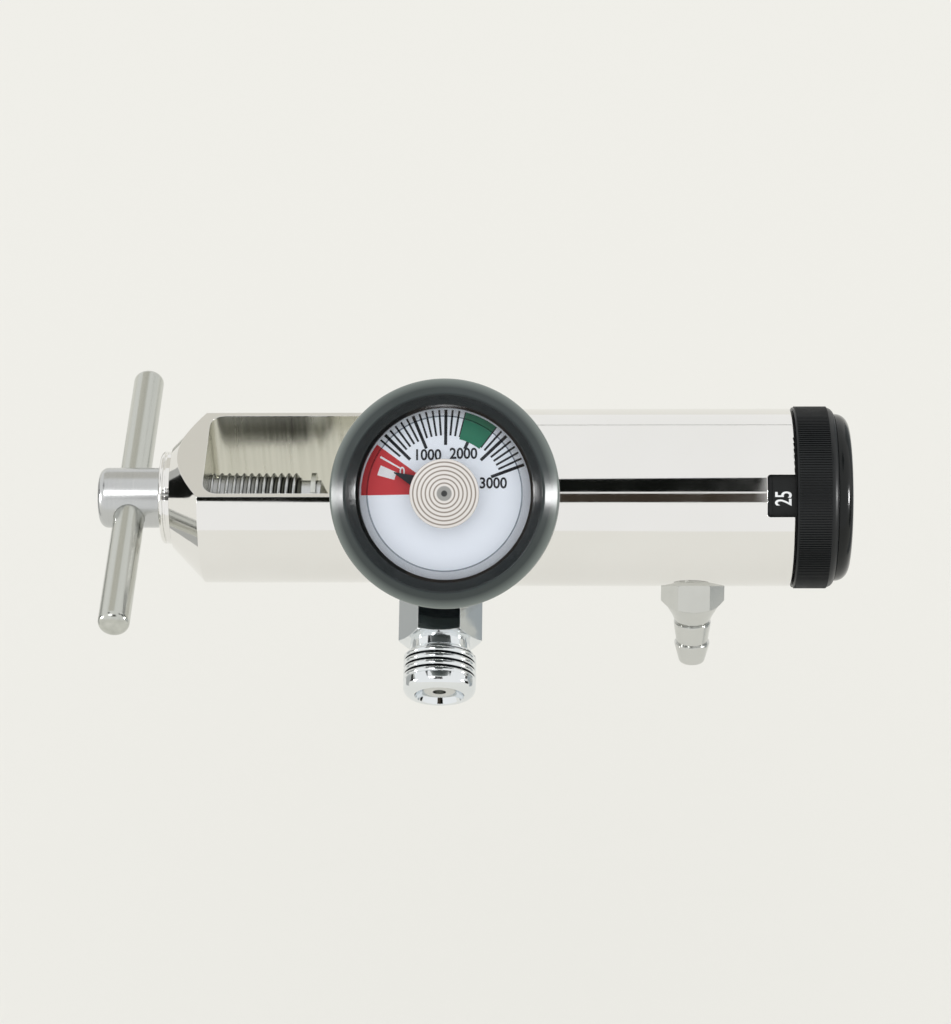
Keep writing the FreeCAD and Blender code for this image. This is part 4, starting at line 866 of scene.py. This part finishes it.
def make_dial_print():
    """The dial's marks, coloured fields and numbers."""
    dial_marks("dial_small_marks", SMALL_STEPS, FIRST_SMALL, 11.0, 0.38)
    dial_marks("dial_large_marks", LARGE_STEPS, FIRST_LARGE, 9.2, 0.58)
    zero_box = [sector(9.9, 13.2, 164.5, 156), sector(9.6, 14, 151, 149.4)]
    fields = [
        ("dial_low_field", RED, [sector(6.7, PRINT_EDGE, 181, 144)], 1.0),
        ("dial_full_field", GREEN, [sector(10.6, PRINT_EDGE, 75.4, 52.7)], 3.0),
        ("dial_zero_box", WHITE, zero_box, 1.6),
    ]
    for name, ink, outlines, layer in fields:
        mesh = flat_mesh(name, outlines, DIAL_OUT + PRINT_RISE * layer)
        mesh.transform(GAUGE)
        field = piece_from(mesh, name, ink, "body")
    parts = []
    for words, right, up in (("1000", -3.3, 7.25), ("2000", 3.45, 7.5), ("3000", 9.0, 1.95)):
        mesh = figures_mesh(f"dial_{words}", words, FIGURE_HEIGHT, narrow=0.92, bold=0.03)
        mesh.transform(GAUGE @ Matrix.Translation((right * MM, up * MM, DIAL_OUT + PRINT_RISE * 2)))
        parts.append(mesh)
    numbers = piece_from(merged(parts, "dial_numbers"), "dial_numbers", INK, "body")
    mesh = figures_mesh("dial_0", "0", ZERO_HEIGHT, narrow=0.85, bold=0.02)
    mesh.transform(GAUGE @ Matrix.Translation((*ZERO_SPOT, DIAL_OUT + PRINT_RISE * 3)))
    zero = piece_from(mesh, "dial_zero", WHITE, "body")


# The pointer, with the places along its needle and half its width there in millimetres
POINTER_OUT = 41.2 * MM
POINTER_THICK = 0.4 * MM
POINTER_ANGLE = 157.3
POINTER_HUB = 2.0 * MM
NEEDLE_WIDTHS = ((-3.6, 0.65), (0, 1.7), (6.4, 1.05), (8.4, 0.55), (10.35, 0.1))


def make_pointer():
    """The pointer: a disc with a stout tail and a needle that narrows to a fine tip."""
    needle = [(out * MM, -half * MM) for out, half in NEEDLE_WIDTHS]
    needle += [(out * MM, half * MM) for out, half in reversed(NEEDLE_WIDTHS)]
    work = bmesh.new()
    for outline in (needle, arc(POINTER_HUB, 0, 360, 48)[:-1]):
        back = [(x, y, POINTER_OUT) for x, y in outline]
        front = [(x, y, POINTER_OUT + POINTER_THICK) for x, y in outline]
        prism(work, back, front)
    mesh = solid_of(work, "pointer_needle")
    mesh.transform(GAUGE @ Matrix.Rotation(math.radians(POINTER_ANGLE), 4, "Z"))
    pointer = piece_from(mesh, "pointer_needle", INK, "pointer_group")
    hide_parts("pointer")


# The lens's outline and its boss's, out along the gauge's axis
LENS_BACK = 43.0 * MM
LENS_FRONT = 44.4 * MM
LENS_RADIUS = 18.8 * MM
LENS_STEP = 14.4 * MM
STEP_DEPTH = 0.15 * MM
BOSS_RADIUS = 6.5 * MM
BOSS_RISE = 0.5 * MM
BOSS_ROUND = 0.3 * MM
BOSS_CORNER = 0.1 * MM


def make_lens():
    """The lens, with a stepped edge and the ringed boss that its mould's gate leaves in the middle."""
    low = LENS_FRONT - STEP_DEPTH
    outline = [(0, LENS_BACK), (LENS_RADIUS, LENS_BACK), (LENS_RADIUS, LENS_FRONT), (LENS_STEP, LENS_FRONT)]
    outline += [(LENS_STEP - STEP_DEPTH, low), (0, low)]
    lens = lathe("gauge_clear_lens", outline, GAUGE, FINISH["lens"], "body")
    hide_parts("gauge_lens")
    foot = low + HAIR
    top = low + BOSS_RISE
    outline = [(0, foot), (BOSS_RADIUS, foot), (BOSS_RADIUS, top - BOSS_ROUND)]
    outline += [(BOSS_RADIUS - BOSS_CORNER, top - BOSS_CORNER), (BOSS_RADIUS - BOSS_ROUND, top), (0, top)]
    boss = lathe("gauge_lens_boss", outline, GAUGE, FROSTED, "body")


# The studio: the camera's place and aim are given along the body and up the photograph
BACKGROUND = "#F0EFE9"
CAMERA_FOOT = (35.2 * MM, -10.1 * MM)
CAMERA_AIM = (17.3 * MM, -2.9 * MM)
CAMERA_AWAY = 600 * MM
CAMERA_LENS = 105.0
FLOOR_BELOW = 120 * MM
FLOOR_HALF = 20.0
SKY = 1.25
CARD_AWAY = 0.55
CARD_STEPS = 12

# Boards round the body: low and high angle from the camera's direction, left and right end, colour, strength
ROUND_BOARDS = (
    ("camera_board_low_yoke", -7.1, 4.2, -0.121, -0.021, "#12130F", 1.0),
    ("camera_board_low_body", -7.1, 4.2, -0.021, 0.112, "#3B342D", 1.0),
    ("camera_board_high", 6.2, 22.5, -0.121, 0.112, "#101210", 1.0),
    ("rear_board", 78, 118, -0.35, -0.03, "#DAD8D0", 1.0),
    ("hub_light", 12, 24, -0.3, -0.122, "#FFFFFF", 7.0),
    ("upper_line", 105.4, 106.2, -0.02, 0.35, "#7E7E77", 1.0),
)
# Boards past the body's ends: place along it, low and high edge, back and front edge, colour, strength
END_BOARDS = (
    ("left_board", -0.5, 0.0, 0.14, -0.3, 0.05, "#141513", 1.0),
    ("left_grey", -0.25, -0.2, 0.09, -0.3, -0.05, "#B0B1AE", 1.0),
    ("left_stripe", -0.2, 0.16, 0.3, 0.12, 0.25, "#1C1E1F", 1.0),
    ("left_glint", -0.5, -0.035, 0.035, 0.085, 0.15, "#FFFFFF", 70.0),
    ("right_board", 0.5, -0.16, 0.02, -0.1, 0.05, "#1A1B1C", 1.0),
    ("right_grey", 0.25, -0.2, 0.2, -0.3, -0.05, "#A3A8A9", 1.0),
    ("right_stripe", 0.2, 0.16, 0.3, 0.12, 0.25, "#1C1E1F", 1.0),
    ("right_glint", 0.5, -0.035, 0.035, 0.085, 0.15, "#FFFFFF", 70.0),
)


def on_view(along, up, away):
    """A point given along the body, up the photograph and towards the camera."""
    return GAUGE.to_3x3() @ Vector((0, up, away)) + Vector((along, 0, 0))


def make_camera():
    """The photograph's camera, level with the view and a little off its middle."""
    data = bpy.data.cameras.new("camera")
    data.lens = CAMERA_LENS
    data.sensor_width = 36.0
    data.clip_start = 0.01
    data.clip_end = 50.0
    camera = placed("camera", data)
    spot = on_view(*CAMERA_FOOT, CAMERA_AWAY)
    back = (spot - on_view(*CAMERA_AIM, 0)).normalized()
    right = on_view(0, 1, 0).cross(back).normalized()
    turn = Matrix((right, back.cross(right), back)).transposed().to_4x4()
    camera.matrix_world = Matrix.Translation(spot) @ turn
    bpy.context.scene.camera = camera


def reflector(name, work, colour, strength):
    """Makes a board that only shows in reflections."""
    mesh = mesh_of(work, name)
    board = placed(name, mesh)
    made, tree = material(f"{name} paper")
    glow = add(tree, "ShaderNodeEmission", links={"Color": linear(colour), "Strength": strength})
    show(tree, glow.outputs[0])
    mesh.materials.append(made)
    board.visible_camera = False
    board.visible_diffuse = False
    board.visible_shadow = False
    board.visible_transmission = False


def round_board(name, low_angle, high_angle, left, right, colour, strength):
    """A board bent round the body."""
    work = bmesh.new()
    rows = []
    for step in range(CARD_STEPS + 1):
        angle = math.radians(low_angle + (high_angle - low_angle) * step / CARD_STEPS)
        point = on_view(0, CARD_AWAY * math.sin(angle), CARD_AWAY * math.cos(angle))
        rows.append([work.verts.new((x, point.y, point.z)) for x in (left, right)])
    for first, second in zip(rows, rows[1:]):
        work.faces.new([first[0], first[1], second[1], second[0]])
    reflector(name, work, colour, strength)


def end_board(name, x, low, high, back, front, colour, strength):
    """A board past one end of the body."""
    corners = [on_view(x, up, away) for up, away in ((low, back), (high, back), (high, front), (low, front))]
    work = bmesh.new()
    work.faces.new([work.verts.new(corner) for corner in corners])
    reflector(name, work, colour, strength)


def make_floor():
    """A floor that looks like the background under the brighter sky."""
    low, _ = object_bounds()
    corners = [(x * FLOOR_HALF, y * FLOOR_HALF) for x, y in ((-1, -1), (1, -1), (1, 1), (-1, 1))]
    mesh = flat_mesh("floor", [corners], low.z - FLOOR_BELOW)
    floor = placed("floor", mesh)
    made, tree = material("pale floor")
    colour = tuple(channel / SKY for channel in linear(BACKGROUND)[:3]) + (1.0,)
    show(tree, add(tree, "ShaderNodeBsdfDiffuse", links={"Color": colour}).outputs[0])
    mesh.materials.append(made)


def make_light():
    """A white tent that the camera sees as the background, and the boards in it."""
    world = bpy.data.worlds.new("white tent")
    bpy.context.scene.world = world
    world.use_nodes = True
    tree = world.node_tree
    tree.nodes.clear()
    skies = []
    for colour, strength in (("#FFFFFF", SKY), (BACKGROUND, 1.0), ("#F9F9F8", 1.0)):
        links = {"Color": linear(colour), "Strength": strength}
        skies.append(add(tree, "ShaderNodeBackground", links=links).outputs[0])
    plain, seen, mirrored = skies
    ray = add(tree, "ShaderNodeLightPath").outputs
    around = mix_shaders(tree, ray["Is Glossy Ray"], plain, mirrored)
    mixed = mix_shaders(tree, ray["Is Camera Ray"], around, seen)
    add(tree, "ShaderNodeOutputWorld", links={"Surface": mixed})
    for board in ROUND_BOARDS:
        round_board(*board)
    for board in END_BOARDS:
        end_board(*board)


finish_nodes()
make_clamp_screw()
make_outlet()
make_springs()
make_knob_grip()
make_scale_numbers()
make_dial_print()
make_pointer()
make_lens()
make_camera()
make_floor()
make_light()
bpy.context.scene.view_settings.view_transform = "Standard"
